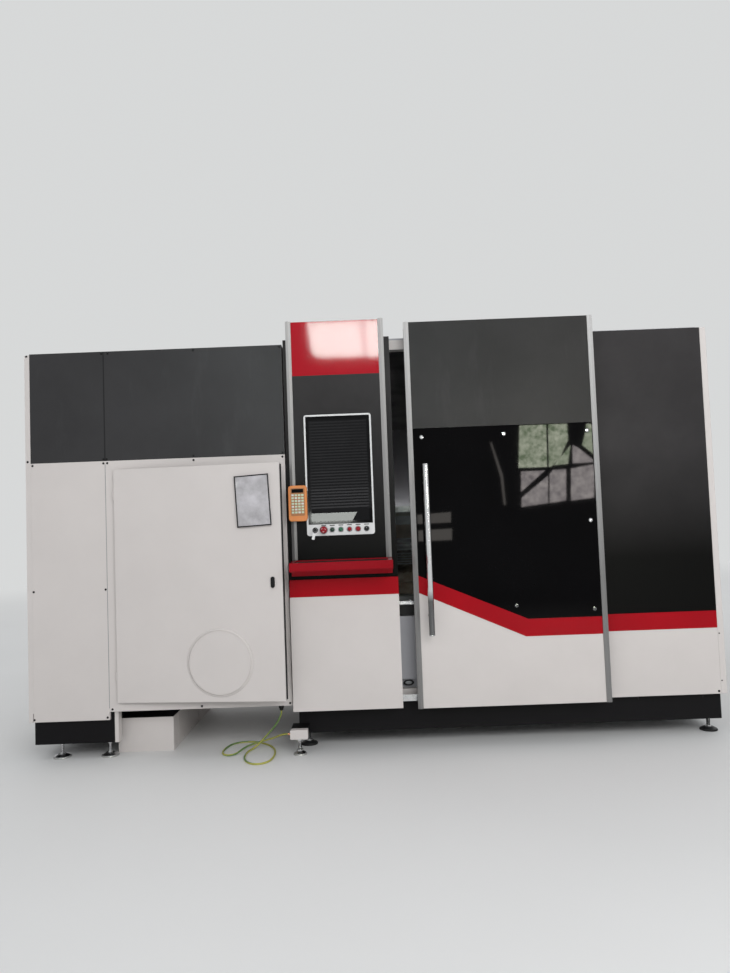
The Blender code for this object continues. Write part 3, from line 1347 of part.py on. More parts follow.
def make_cabinet_body():
    """Cabinet carcass: walls with a front corner post, floor, cap and partition."""
    wall = CABINET_WALL
    left = X_LEFT
    right = CABINET_RIGHT
    back = CABINET_BACK
    top = CABINET_TOP - CAP_RISE
    plan = [(left, CABINET_FRONT), (left + CORNER_POST, CABINET_FRONT),
            (left + CORNER_POST, CARCASS_FRONT), (left + wall, CARCASS_FRONT),
            (left + wall, back - wall), (right - wall, back - wall),
            (right - wall, CARCASS_FRONT), (right, CARCASS_FRONT), (right, back), (left, back)]
    body = prism("cabinet_body", [plan], "XY", CARCASS_BOTTOM, top)
    inset = CAP_INSET
    inner_front = CARCASS_FRONT + inset
    fuse(body, boxes("cabinet_floor", [
        ((left + inset, inner_front, CARCASS_BOTTOM + inset),
         (right - inset, back - inset, CARCASS_BOTTOM + wall))]))
    fuse(body, boxes("cabinet_cap", [
        ((left + inset, inner_front, top - wall / 2), (right - inset, back - inset,
                                                       CABINET_TOP))]))
    seam = CABINET_SEAM_X
    fuse(body, boxes("cabinet_partition", [
        ((seam - wall / 2, inner_front, CARCASS_BOTTOM + wall / 2),
         (seam + wall / 2, back - wall / 2, top - wall / 4))]))
    fuse(body, boxes("cabinet_mid_rail", [
        ((seam, inner_front + inset, CABINET_SEAM_Z - MID_RAIL / 2),
         (right - wall / 2, inner_front + MID_RAIL, CABINET_SEAM_Z + MID_RAIL / 2))]))
    leg_left = left + PLINTH_INSET + PLINTH_WIDTH + SEAT_GAP
    leg_front = FRONT_Y + PLINTH_SETBACK + inset
    fuse(body, boxes("cabinet_skirt_and_leg", [
        ((left + inset, CABINET_FRONT + inset, NARROW_BOTTOM),
         (left + PLINTH_INSET - SEAT_GAP, back - 2 * inset, CARCASS_BOTTOM + wall / 3)),
        ((leg_left, leg_front, PLINTH_BOTTOM),
         (leg_left + LEG_WIDTH, leg_front + LEG_DEPTH, CARCASS_BOTTOM + wall / 3))]))
    gland = cylinders("earth_gland", [
        ((GLAND_X, FRONT_Y + GLAND_SETBACK, CARCASS_BOTTOM - GLAND_HEIGHT), "Z",
         GLAND_HEIGHT + wall / 2, GLAND_RADIUS)], CONTROL_SEGMENTS)
    fuse(body, gland)
    return register(body, white_paint())


def make_cabinet_panels():
    """Fixed front panels of the cabinet, two dark above and one white at the left."""
    left = X_LEFT + CORNER_POST + SEAT_GAP
    seam = CABINET_SEAM_X
    depth = CABINET_SKIN
    rows = [
        ("cabinet_narrow_upper", left, seam - SEAT_GAP, CABINET_SEAM_Z + SEAT_GAP, CABINET_TOP,
         dark_paint()),
        ("cabinet_narrow_lower", left, seam - SEAT_GAP, NARROW_BOTTOM, CABINET_SEAM_Z,
         white_paint()),
        ("cabinet_wide_upper", seam, CABINET_RIGHT, CABINET_SEAM_Z + SEAT_GAP, CABINET_TOP,
         dark_paint())]
    for name, low_x, high_x, low_z, high_z, paint in rows:
        panel = pan(name, [rectangle(low_x, high_x, low_z, high_z)], CABINET_FRONT, depth)
        register(panel, paint)


def hinge_heights():
    """Bottom of each cabinet hinge."""
    return [LEAF_BOTTOM + HINGE_INSET, LEAF_TOP - HINGE_INSET - HINGE_HEIGHT]


def make_cabinet_front():
    """White panel round the cabinet doorway, with the fixed hinge knuckles."""
    left = CABINET_SEAM_X
    right = CABINET_RIGHT
    ring = [rectangle(left, right, WIDE_BOTTOM, CABINET_SEAM_Z),
            rectangle(left + HATCH_LEFT, right - HATCH_RIGHT, HATCH_BOTTOM, HATCH_TOP)]
    front = prism("cabinet_front", ring, "XZ", CABINET_FRONT, CABINET_FRONT + CABINET_SKIN)
    half = HINGE_HEIGHT / 2
    tabs = []
    knuckles = []
    for low in hinge_heights():
        tabs.append(((HINGE_X - HINGE_LEAF / 2, HINGE_Y, low + CAP_INSET),
                     (HINGE_X + HINGE_LEAF / 2, CABINET_FRONT + CABINET_SKIN / 2,
                      low + half - CAP_INSET)))
        knuckles.append(((HINGE_X, HINGE_Y, low), "Z", half - SEAT_GAP, HINGE_RADIUS))
    fuse(front, boxes("hinge_tabs", tabs))
    fuse(front, cylinders("hinge_knuckles", knuckles, CONTROL_SEGMENTS))
    return register(front, white_paint())


def make_cabinet_door(carrier):
    """Folded sheet door, in coordinates that start on its hinge axis."""
    left = HINGE_OFFSET
    outline = rectangle(left, left + LEAF_WIDTH, LEAF_BOTTOM, LEAF_TOP)
    hole = circle(LOCK_ALONG, LOCK_Z, LOCK_STEM + RUNNING_GAP, CONTROL_SEGMENTS)
    face = -HINGE_SETBACK
    door = as_mesh(pan("cabinet_door", [outline, hole], face, LEAF_DEPTH))
    half = HINGE_HEIGHT / 2
    tabs = []
    knuckles = []
    for low in hinge_heights():
        tabs.append(((0, -HINGE_LEAF / 2, low + half + CAP_INSET),
                     (left + SHEET / 2, HINGE_LEAF / 2, low + 2 * half - CAP_INSET)))
        knuckles.append(((0, 0, low + half), "Z", half, HINGE_RADIUS))
    fuse(door, boxes("door_hinge_tabs", tabs))
    fuse(door, cylinders("door_hinge_knuckles", knuckles, CONTROL_SEGMENTS))
    return register(door, white_paint(), carrier)


def make_cabinet_lock(carrier):
    """Black quarter-turn lock with its cam behind the door."""
    face = -HINGE_SETBACK
    axis = pivot("cabinet_lock_axis", (LOCK_ALONG, face, LOCK_Z), 0, carrier)
    radius = LOCK_WIDTH / 2
    outline = rounded_rectangle(-radius, radius, -LOCK_HEIGHT / 2, LOCK_HEIGHT / 2,
                                radius * 0.98, 4)
    lever = prism("cabinet_lock", [outline], "XZ", -SEAT_GAP - LOCK_PROUD, -SEAT_GAP)
    apply_place(lever)
    stem_start = -SEAT_GAP - FUSE_OVERLAP
    fuse(lever, cylinders("lock_stem", [((0, stem_start, 0), "Y", CAM_SETBACK - stem_start,
                                         LOCK_STEM)], CONTROL_SEGMENTS))
    fuse(lever, boxes("lock_cam", [
        ((-CAM_WIDTH / 2, CAM_SETBACK - FUSE_OVERLAP, -CAM_LENGTH),
         (CAM_WIDTH / 2, CAM_SETBACK - FUSE_OVERLAP + CAM_THICKNESS, CAM_WIDTH / 2))]))
    return register(lever, black_plastic(), axis)


def make_document_pocket(carrier):
    """Clear sheet holder on the door, open at the top."""
    face = -HINGE_SETBACK - SEAT_GAP
    left = POCKET_ALONG - POCKET_WIDTH / 2
    right = POCKET_ALONG + POCKET_WIDTH / 2
    top = POCKET_BOTTOM + POCKET_HEIGHT
    pocket = box("document_pocket", (left, face - POCKET_DEPTH, POCKET_BOTTOM),
                 (right, face, top))
    cut(pocket, boxes("pocket_slot", [
        ((left + POCKET_RIM, face - POCKET_DEPTH + POCKET_FACE, POCKET_BOTTOM + POCKET_RIM),
         (right - POCKET_RIM, face + CUT_OVERRUN, top + CUT_OVERRUN))]))
    return register(pocket, clear_plastic(), carrier)


def make_round_cover(carrier):
    """Shallow round cover low on the door."""
    profile = [(0, COVER_DEPTH), (COVER_RADIUS - COVER_EDGE, COVER_DEPTH),
               (COVER_RADIUS, COVER_DEPTH - COVER_EDGE), (COVER_RADIUS, 0), (0, 0)]
    cover = turned("round_cover", profile, 48)
    cover.rotation_euler = (math.pi / 2, 0, 0)
    cover.location = (COVER_ALONG, -HINGE_SETBACK - SEAT_GAP, COVER_Z)
    smooth(cover)
    return register(cover, white_paint(), carrier)


def make_mounting_plate():
    """Plate across the cabinet with drives, breakers and cable ducts."""
    left = CABINET_SEAM_X + CABINET_WALL / 2 + SEAT_GAP
    right = CABINET_RIGHT - CABINET_WALL - SEAT_GAP
    back = FRONT_Y + PLATE_SETBACK
    face = back - PLATE_THICKNESS
    plate = box("mounting_plate", (left, face, PLATE_BOTTOM), (right, back, PLATE_TOP))
    width = right - left
    rows = []
    drive_low = PLATE_TOP - DUCT_HEIGHT * 2 - DRIVE_HEIGHT
    add_row(rows, left, width, face, drive_low, DRIVE_COUNT,
            (DRIVE_WIDTH, DRIVE_DEPTH, DRIVE_HEIGHT))
    breaker_low = drive_low - DUCT_HEIGHT * 3 - BREAKER_HEIGHT
    add_row(rows, left, width, face, breaker_low, BREAKER_COUNT,
            (BREAKER_WIDTH, BREAKER_DEPTH, BREAKER_HEIGHT))
    relay_low = breaker_low - DUCT_HEIGHT * 3 - BREAKER_HEIGHT
    add_row(rows, left, width, face, relay_low, BREAKER_COUNT,
            (BREAKER_WIDTH, BREAKER_DEPTH * 0.8, BREAKER_HEIGHT))
    for low in (drive_low - DUCT_HEIGHT * 2, breaker_low - DUCT_HEIGHT * 2,
                relay_low - DUCT_HEIGHT * 2):
        rows.append(((left + DUCT_HEIGHT, face - DUCT_DEPTH, low),
                     (right - DUCT_HEIGHT, face + FUSE_OVERLAP / 2, low + DUCT_HEIGHT)))
    fuse(plate, boxes("plate_components", rows))
    return register(plate, grey_paint())


def add_row(rows, left, width, face, low, count, size):
    """Add a row of like components to a list of boxes."""
    pitch = width / (count + 1)
    for index in range(count):
        middle = left + (index + 1) * pitch
        rows.append(((middle - size[0] / 2, face - size[1], low),
                     (middle + size[0] / 2, face + FUSE_OVERLAP / 2, low + size[2])))


def make_laser_source():
    """Laser source on the cabinet floor, with two grips on its front."""
    centre = (CABINET_SEAM_X + CABINET_RIGHT) / 2
    front = FRONT_Y + SOURCE_SETBACK
    low = CARCASS_BOTTOM + CABINET_WALL + SEAT_GAP
    source = box("laser_source", (centre - SOURCE_WIDTH / 2, front, low),
                 (centre + SOURCE_WIDTH / 2, front + SOURCE_DEPTH, low + SOURCE_HEIGHT),
                 bevel=COVER_EDGE)
    grips = []
    for side in (-1, 1):
        middle = centre + side * (SOURCE_WIDTH / 2 - 3 * SOURCE_GRIP)
        grips.append(((middle - SOURCE_GRIP / 2, front - SOURCE_GRIP_REACH,
                       low + 3 * SOURCE_GRIP),
                      (middle + SOURCE_GRIP / 2, front + FUSE_OVERLAP,
                       low + SOURCE_HEIGHT - 3 * SOURCE_GRIP)))
    fuse(source, boxes("source_grips", grips))
    return register(source, grey_paint())


def make_cabinet_plinth():
    """Black plinth under the cabinet's left part, on four levelling feet."""
    left = X_LEFT + PLINTH_INSET
    right = left + PLINTH_WIDTH
    front = FRONT_Y + PLINTH_SETBACK
    back = CABINET_BACK - PLINTH_END
    plinth = box("cabinet_plinth", (left, front + CABINET_SKIN / 20, PLINTH_BOTTOM),
                 (right, back, CARCASS_BOTTOM + CAP_INSET - SEAT_GAP))
    foot = levelling_foot("plinth_foot", PLINTH_STEM, PLINTH_BOTTOM + FUSE_OVERLAP, PAD_RADIUS)
    side = PAD_RADIUS + PLINTH_END
    columns = (left + 2 * side, right - PAD_RADIUS)
    rows = (front + PLINTH_SETBACK, back - PAD_RADIUS)
    places = [(x, y, 0) for y in rows for x in columns]
    fuse(plinth, place_copies("plinth_feet", foot, places))
    duct_left = X_LEFT + FUME_DUCT_LEFT - CUT_OVERRUN
    duct_front = FRONT_Y + FUME_DUCT_SETBACK
    duct_back = duct_front + FUME_DUCT_LENGTH
    cut(plinth, boxes("plinth_duct_clearance", [
        ((duct_left, duct_front - CUT_OVERRUN, PLINTH_BOTTOM - CUT_OVERRUN),
         (right + CUT_OVERRUN, duct_back + CUT_OVERRUN, FUME_DUCT_HEIGHT + CUT_OVERRUN))]))
    cut(plinth, boxes("plinth_riser_clearance", [
        ((duct_left, duct_back - FUME_RISER - CUT_OVERRUN, PLINTH_BOTTOM),
         (right + 2 * CUT_OVERRUN, duct_back + 2 * CUT_OVERRUN,
          CARCASS_BOTTOM + CUT_OVERRUN))]))
    return register(plinth, black_paint())


def make_fume_duct():
    """White fume duct on the floor, closed in front, rising into the cabinet's floor."""
    left = X_LEFT + FUME_DUCT_LEFT
    front = FRONT_Y + FUME_DUCT_SETBACK
    back = front + FUME_DUCT_LENGTH
    top = FUME_DUCT_HEIGHT
    riser_top = CARCASS_BOTTOM + CAP_INSET - SEAT_GAP
    section = [(front, 0), (back, 0), (back, riser_top), (back - FUME_RISER, riser_top),
               (back - FUME_RISER, top), (front, top)]
    duct = prism("fume_duct", [section], "YZ", left, left + FUME_DUCT_WIDTH)
    return register(duct, white_paint())


def make_cabinet():
    """The cabinet, its door with everything on it, and what stands inside."""
    make_cabinet_body()
    make_cabinet_panels()
    make_cabinet_front()
    carrier = pivot("cabinet_door_axis", (HINGE_X, HINGE_Y, 0), -math.radians(LEAF_OPEN_DEG))
    make_cabinet_door(carrier)
    make_cabinet_lock(carrier)
    make_document_pocket(carrier)
    make_round_cover(carrier)
    make_mounting_plate()
    make_laser_source()
    make_cabinet_plinth()
    make_fume_duct()


# Motion system

def make_gantry():
    """Beam across the bed on two trucks, with the carriage's rails on its front."""
    carrier = pivot("gantry_axis", (BED_CENTRE_X, GANTRY_Y, RAIL_TOP))
    half = RAIL_SPACING / 2
    depth = GANTRY_BEAM_DEPTH / 2
    beam_low = GANTRY_BEAM_BOTTOM - RAIL_TOP
    beam_high = GANTRY_BEAM_TOP - RAIL_TOP
    truck = BED_SIDE / 2
    beam = box("gantry_beam", (-half - truck, -depth, beam_low), (half + truck, depth, beam_high))
    trucks = []
    for side in (-1, 1):
        trucks.append(((side * half - truck + CAP_INSET, -TRUCK_LENGTH / 2,
                        TRUCK_LIFT - RAIL_HEIGHT),
                       (side * half + truck - CAP_INSET, TRUCK_LENGTH / 2, TRUCK_TOP - RAIL_TOP)))
    fuse(beam, boxes("gantry_trucks", trucks))
    rails = []
    for height in (CROSS_RAIL_LOW, CROSS_RAIL_HIGH):
        rails.append(((-half + truck, -depth - CROSS_RAIL_DEPTH, height - RAIL_TOP),
                      (half - truck, -depth + FUSE_OVERLAP,
                       height - RAIL_TOP + CROSS_RAIL_WIDTH)))
    fuse(beam, boxes("gantry_cross_rails", rails))
    grooves = []
    for side in (-1, 1):
        grooves.append(((side * half - RAIL_WIDTH / 2 - RUNNING_GAP, -TRUCK_LENGTH,
                         -RAIL_HEIGHT - CUT_OVERRUN),
                        (side * half + RAIL_WIDTH / 2 + RUNNING_GAP, TRUCK_LENGTH, SEAT_GAP)))
    cut(beam, boxes("gantry_grooves", grooves))
    register(beam, cast_grey(), carrier)


def make_carriage():
    """Carriage plate on the gantry's cross rails, with one upright rail in front."""
    carrier = pivot("carriage_axis", (CARRIAGE_X, CARRIAGE_BACK, CARRIAGE_BOTTOM))
    half = CARRIAGE_WIDTH / 2
    height = CARRIAGE_TOP - CARRIAGE_BOTTOM
    plate = box("carriage", (-half, -CARRIAGE_DEPTH, 0), (half, 0, height))
    rails = []
    for side in (-1, 1):
        middle = side * HEAD_WIDTH / 3
        rails.append(((middle - Z_RAIL_WIDTH / 2, -CARRIAGE_DEPTH - Z_RAIL_DEPTH,
                       CARRIAGE_STANDOFF),
                      (middle + Z_RAIL_WIDTH / 2, -CARRIAGE_DEPTH + FUSE_OVERLAP,
                       height - CARRIAGE_STANDOFF)))
    fuse(plate, boxes("carriage_rails", rails))
    register(plate, cast_grey(), carrier)


def make_cutting_head():
    """Cutting head: slide body, focusing barrel and nozzle."""
    centre_y = HEAD_BACK - HEAD_DEPTH / 2
    carrier = pivot("cutting_head_axis", (CARRIAGE_X, centre_y, NOZZLE_BOTTOM))
    half = HEAD_WIDTH / 2
    body_low = HEAD_BODY_BOTTOM - NOZZLE_BOTTOM
    body = box("cutting_head", (-half, -HEAD_DEPTH / 2, body_low),
               (half, HEAD_DEPTH / 2, HEAD_BODY_TOP - NOZZLE_BOTTOM), bevel=COVER_EDGE)
    barrel_low = HEAD_BARREL_BOTTOM - NOZZLE_BOTTOM
    profile = [(0, body_low + FUSE_OVERLAP), (HEAD_BARREL, body_low + FUSE_OVERLAP),
               (HEAD_BARREL, barrel_low), (HEAD_BARREL * 0.6, barrel_low),
               (HEAD_BARREL * 0.5, barrel_low * 0.5), (NOZZLE_RADIUS, 0), (0, 0)]
    fuse(body, turned("head_barrel", profile, 20))
    register(body, silver(), carrier)


# Earth wire

def make_earth_wire():
    """Yellow-green earth wire that lies in loose loops on the floor."""
    points = [(ENCLOSURE_LEFT + x, FRONT_Y + y, z) for x, y, z in WIRE_ROUTE]
    lowest = WIRE_RADIUS + SEAT_GAP
    path = [(x, y, max(z, lowest)) for x, y, z in smooth_path(points, WIRE_STEP)]
    data = bpy.data.curves.new("earth_wire", "CURVE")
    data.dimensions = "3D"
    data.bevel_depth = WIRE_RADIUS
    data.bevel_resolution = 2
    data.use_fill_caps = True
    spline = data.splines.new("POLY")
    spline.points.add(len(path) - 1)
    for point, place in zip(spline.points, path):
        point.co = (*place, 1)
    wire = bpy.data.objects.new("earth_wire", data)
    bpy.context.scene.collection.objects.link(wire)
    return register(wire, wire_jacket())


def smooth_path(points, step):
    """Points at an even step along a smooth curve through the route."""
    dense = []
    count = len(points)
    for index in range(count - 1):
        before = points[max(index - 1, 0)]
        start = points[index]
        end = points[index + 1]
        after = points[min(index + 2, count - 1)]
        for part in range(8):
            t = part / 8
            dense.append(tuple(catmull_rom(before[k], start[k], end[k], after[k], t)
                               for k in range(3)))
    dense.append(points[-1])
    lengths = [0.0]
    for first, second in zip(dense, dense[1:]):
        lengths.append(lengths[-1] + math.dist(first, second))
    total = lengths[-1]
    wanted = max(2, round(total / step))
    path = []
    place = 0
    for index in range(wanted + 1):
        target = total * index / wanted
        while place < len(lengths) - 2 and lengths[place + 1] < target:
            place += 1
        span = lengths[place + 1] - lengths[place]
        share = (target - lengths[place]) / span if span else 0.0
        path.append(tuple(a + (b - a) * share for a, b in zip(dense[place], dense[place + 1])))
    return path


def catmull_rom(before, start, end, after, t):
    """One coordinate of a smooth curve between start and end."""
    return 0.5 * (2 * start + (end - before) * t
                  + (2 * before - 5 * start + 4 * end - after) * t ** 2
                  + (3 * start - before - 3 * end + after) * t ** 3)


def clear_scene():
    """Remove the objects that a new file starts with."""
    for obj in list(bpy.data.objects):
        bpy.data.objects.remove(obj)


def main():
    clear_scene()
    make_base_frame()
    make_base_skirt()
    make_front_foot()
    make_bed_frame()
    make_slat_table()
    make_side_walls()
    make_rear_wall()
    make_rear_door()
    make_roof()
    make_front_frame()
    make_front_apron()
    make_door_rails()
    make_right_panels()
    make_sliding_door()
    make_console_body()
    make_console_skins()
    make_console_trims()
    make_keyboard_tray()
    make_monitor()
    make_controls()
    make_hand_pendant()
    make_cabinet()
    make_gantry()
    make_carriage()
    make_cutting_head()
    make_earth_wire()


main()
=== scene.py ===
"""Looks of the fiber laser cutting machine: materials, small hardware, the earth wire,
plain studio light and the photograph's camera. Metres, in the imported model's frame."""
import math
from contextlib import contextmanager

import bmesh
import bpy
from mathutils import Matrix, Vector


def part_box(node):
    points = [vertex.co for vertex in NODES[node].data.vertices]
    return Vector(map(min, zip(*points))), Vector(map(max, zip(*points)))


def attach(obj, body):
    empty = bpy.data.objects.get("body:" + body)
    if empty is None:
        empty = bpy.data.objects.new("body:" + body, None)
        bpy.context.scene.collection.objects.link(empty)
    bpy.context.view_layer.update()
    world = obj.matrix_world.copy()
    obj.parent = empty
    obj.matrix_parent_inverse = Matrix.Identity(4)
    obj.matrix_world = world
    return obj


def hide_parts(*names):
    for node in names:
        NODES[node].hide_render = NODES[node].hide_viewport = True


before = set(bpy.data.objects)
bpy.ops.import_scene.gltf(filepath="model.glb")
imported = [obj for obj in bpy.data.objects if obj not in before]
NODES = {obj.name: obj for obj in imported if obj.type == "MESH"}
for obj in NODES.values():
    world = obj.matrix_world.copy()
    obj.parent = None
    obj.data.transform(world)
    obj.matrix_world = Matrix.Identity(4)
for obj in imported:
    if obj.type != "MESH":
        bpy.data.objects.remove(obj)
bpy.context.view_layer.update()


# Places and frames

def at(x, y, z):
    return Matrix.Translation((x, y, z))


def turn(degrees, axis):
    return Matrix.Rotation(math.radians(degrees), 4, axis)


def axes(*rows):
    """A frame from its three rows."""
    return Matrix(rows).to_4x4()


def front(x, y, z):
    """Local Z points out of the front, to -Y; local Y points up."""
    return at(x, y, z) @ turn(90, "X")


def rear(x, y, z):
    return at(x, y, z) @ turn(-90, "X")


def side(x, y, z, sign=1):
    """Local Z points out to +X, or to -X."""
    return at(x, y, z) @ turn(sign * 90, "Y")


def mm(text):
    """Points in metres from a text of millimetres, with commas between the points."""
    return [tuple(float(word) / 1000 for word in point.split()) for point in text.split(",")]


# Planes and corners of the CAD
FRONT = -2.01515
CABINET_FACE = FRONT + 0.03
SEAM_X = -1.489
TOWER = -0.174
CONTROL_PITCH = 0.0475
CONTROL_Z = 1.2165
DUCT_ROWS = (1.4, 1.195, 0.99)
TRUCKS = (-0.18, 1.66)
BEAM_FRONT = FRONT + 0.68
BEAM_LEFT, BEAM_RIGHT = -0.1, 1.575
# The cabinet's door stands open a little; its own frame starts at the hinge
LEAF = at(-1.441, FRONT + 0.015, 0) @ turn(-6, "Z")
LEAF_FACE = -0.0065
LEAF_BACK = 0.0135
# Local Z points to +X, and local Y up
ALONG_X = axes((0, 0, 1), (1, 0, 0), (0, 1, 0))
TO_LEFT = axes((0, 0, -1), (-1, 0, 0), (0, 1, 0))
TO_REAR = axes((-1, 0, 0), (0, 0, 1), (0, 1, 0))
EYE_X, EYE_AHEAD, EYE_Z = -0.01, 4.058, 1.239
CARDS_AHEAD = 8
BACKGROUND = (0.68, 0.69, 0.69)


def add_object(name, data):
    made = bpy.data.objects.new(name, data)
    bpy.context.scene.collection.objects.link(made)
    return made


def make_camera():
    """The photograph's camera, found from its straight edges."""
    data = bpy.data.cameras.new("camera")
    data.sensor_width = 36
    data.lens = 27.05
    data.clip_end = 200
    camera = add_object("camera", data)
    camera.matrix_world = (at(EYE_X, FRONT - EYE_AHEAD, EYE_Z) @ turn(0.32, "Z")
                           @ turn(92.96, "X") @ turn(-2.13, "Z"))
    bpy.context.scene.camera = camera


# Materials

def feed(tree, socket, value):
    """Link a socket to another one, or set its value."""
    if isinstance(value, bpy.types.NodeSocket):
        tree.links.new(value, socket)
    else:
        socket.default_value = (*value, 1) if socket.type == "RGBA" else value


def node(tree, kind, output=0, sockets=(), **values):
    """The output of a new node. Each value is a property, or feeds the socket so named."""
    made = tree.nodes.new("ShaderNode" + kind)
    for name, value in values.items():
        if hasattr(made, name):
            setattr(made, name, value)
        else:
            feed(tree, made.inputs[name.replace("_", " ")], value)
    for index, value in sockets:
        feed(tree, made.inputs[index], value)
    return made.outputs[output]


def blend(tree, share, one, two):
    """Two colours mixed by a share."""
    return node(tree, "Mix", 2, data_type="RGBA", sockets=((0, share), (6, one), (7, two)))


def new_material(name):
    made = bpy.data.materials.new(name)
    made.use_nodes = True
    return made, made.node_tree, made.node_tree.nodes["Principled BSDF"].inputs


MATERIALS = {}


def surface(look, name, colour, roughness, metallic=0.0, specular=0.5, grain=400.0,
            grain_depth=0.0002, blotch=0.05, blotch_scale=2.5, blotch_colour=None,
            rough_vary=0.08, stretch=(1, 1, 1), dust=0.0, emission=0.0, streak=0.0,
            fade=None):
    """A Principled material with grain, cloudy colour and gloss. Dust lies low down, and fade
    paints shade: it darkens the colour from the height fade[1] down to fade[0], to the share
    fade[2]."""
    made, tree, inputs = new_material(name)
    place = node(tree, "TexCoord", "Object")
    cloud = node(tree, "TexNoise", Vector=place, Scale=blotch_scale, Detail=6.0,
                 Roughness=0.62)
    second = blotch_colour or [max(0.0, c * (1 - 2 * blotch)) for c in colour]
    shade = blend(tree, node(tree, "MapRange", Value=cloud, From_Min=0.35, From_Max=0.65),
                  colour, second)
    if streak:
        upright = node(tree, "Mapping", Vector=place, Scale=(7, 7, 1.3))
        rub = node(tree, "TexNoise", Vector=upright, Scale=1.0, Detail=8.0, Roughness=0.7)
        shade = blend(tree, node(tree, "MapRange", Value=rub, From_Min=0.56, From_Max=0.74,
                                 To_Max=streak), shade, (0.3, 0.3, 0.31))
    height = node(tree, "SeparateXYZ", "Z", Vector=place)
    if dust:
        low = node(tree, "MapRange", Value=height, From_Min=0.05, From_Max=0.75,
                   To_Min=dust, To_Max=0.0)
        shade = blend(tree, node(tree, "Math", operation="MULTIPLY",
                                 sockets=((0, low), (1, cloud))), shade, (0.36, 0.34, 0.31))
    # Painted shade: darker towards the bottom.
    if fade:
        shade = blend(tree, node(tree, "MapRange", Value=height, From_Min=fade[0],
                                 From_Max=fade[1], To_Min=1.0, To_Max=0.0),
                      shade, [c * fade[2] for c in colour])
    gloss = node(tree, "MapRange", Value=cloud, To_Min=max(0.0, roughness - rough_vary / 2),
                 To_Max=min(1.0, roughness + rough_vary))
    settings = {"Base Color": shade, "Roughness": gloss, "Metallic": metallic,
                "Specular IOR Level": specular}
    if grain_depth:
        skin = node(tree, "Mapping", Vector=place, Scale=stretch)
        peel = node(tree, "TexNoise", Vector=skin, Scale=grain, Detail=2.0)
        settings["Normal"] = node(tree, "Bump", Height=peel, Strength=0.35,
                                  Distance=grain_depth)
    if emission:
        settings["Emission Color"] = colour
        settings["Emission Strength"] = emission
    for socket, value in settings.items():
        feed(tree, inputs[socket], value)
    MATERIALS[look] = made


ANODISED = {"roughness": 0.36, "metallic": 0.55, "blotch": 0.03, "grain": 260,
            "stretch": (6, 6, 0.04), "grain_depth": 0.0001}
DARK_COAT = {"roughness": 0.42, "specular": 0.07, "blotch": 0.12, "grain": 420}
RED_PAINT = {"roughness": 0.12, "specular": 0.09, "blotch": 0.06, "grain": 300,
             "grain_depth": 0.00002, "rough_vary": 0.02}
MOULDED = {"grain": 800, "grain_depth": 0.00004}
JACKET = {"roughness": 0.38, "specular": 0.4, "grain": 600, "grain_depth": 0.00005}
surface("white", "white_powder_coat", (0.63, 0.592, 0.573), 0.42, specular=0.3,
        blotch=0.018, dust=0.06, grain=420, grain_depth=0.00015)
# Painted sheen: anthracite is a lighter copy of the dark look's coat, standing in for reflected
# light on the cabinet's upper panels.
surface("anthracite", "anthracite_coat_painted_sheen", (0.034, 0.033, 0.035), 0.44, specular=0.24,
        blotch=0.1, grain=420, streak=0.04)
# The same anthracite coat without the painted sheen, on the sliding door's upper panel.
surface("dark", "dark_console_coat", (0.023, 0.0215, 0.0225), 0.42, specular=0.18,
        blotch=0.12, grain=420, streak=0.03)
surface("red", "red_gloss_paint", (0.37, 0.0045, 0.011), **RED_PAINT)
surface("red_mirror", "red_polished_paint", (0.4, 0.0045, 0.014), 0.046, specular=0.2,
        blotch=0.06, grain_depth=0, rough_vary=0.012)
# Painted shade: a darker copy of the red paint for the desk, which lies in shade.
surface("red_shade", "red_paint_painted_shade", (0.28, 0.0045, 0.011), **RED_PAINT)
# Painted shade: lighter copies of the dark coat on the console and the right upper panel,
# darkened towards the bottom where shade falls.
surface("face", "dark_face_coat", (0.042, 0.0395, 0.0405), fade=(1.05, 2.1, 0.02),
        **DARK_COAT)
surface("side_panel", "dark_panel_coat", (0.042, 0.0395, 0.041), fade=(1.0, 1.62, 0.02),
        **DARK_COAT)
# Painted shade: the roof's underside is coloured dark grey for the shade it lies in.
surface("roof_painted_shade", "shaded_roof_coat", (0.085, 0.082, 0.083), 0.62, specular=0.13, blotch=0.3)
surface("black", "black_powder_coat", (0.006, 0.0056, 0.007), 0.5, specular=0.08,
        dust=0.02, blotch=0.15)
surface("grey", "grey_machine_paint", (0.24, 0.25, 0.26), 0.5, specular=0.35, blotch=0.06,
        grain=300, dust=0.08)
surface("silver", "anodised_aluminium", (0.4, 0.395, 0.395), **ANODISED)
# Painted shade: lit copies of the anodised aluminium on the trims, darkened towards the bottom.
surface("shade_silver", "anodised_door_trim", (0.66, 0.65, 0.645), specular=0.3,
        fade=(0.9, 2.3, 0.36), **ANODISED)
surface("trim_silver", "anodised_console_trim", (0.56, 0.55, 0.545), specular=0.4,
        fade=(1.0, 2.34, 0.38), **ANODISED)
surface("dark_steel", "blackened_steel", (0.045, 0.045, 0.048), 0.38, metallic=0.6,
        blotch=0.12, blotch_scale=14)
surface("steel", "bright_steel", (0.6, 0.6, 0.61), 0.24, metallic=1.0, blotch=0.06,
        grain=500, grain_depth=0.00005, blotch_scale=14)
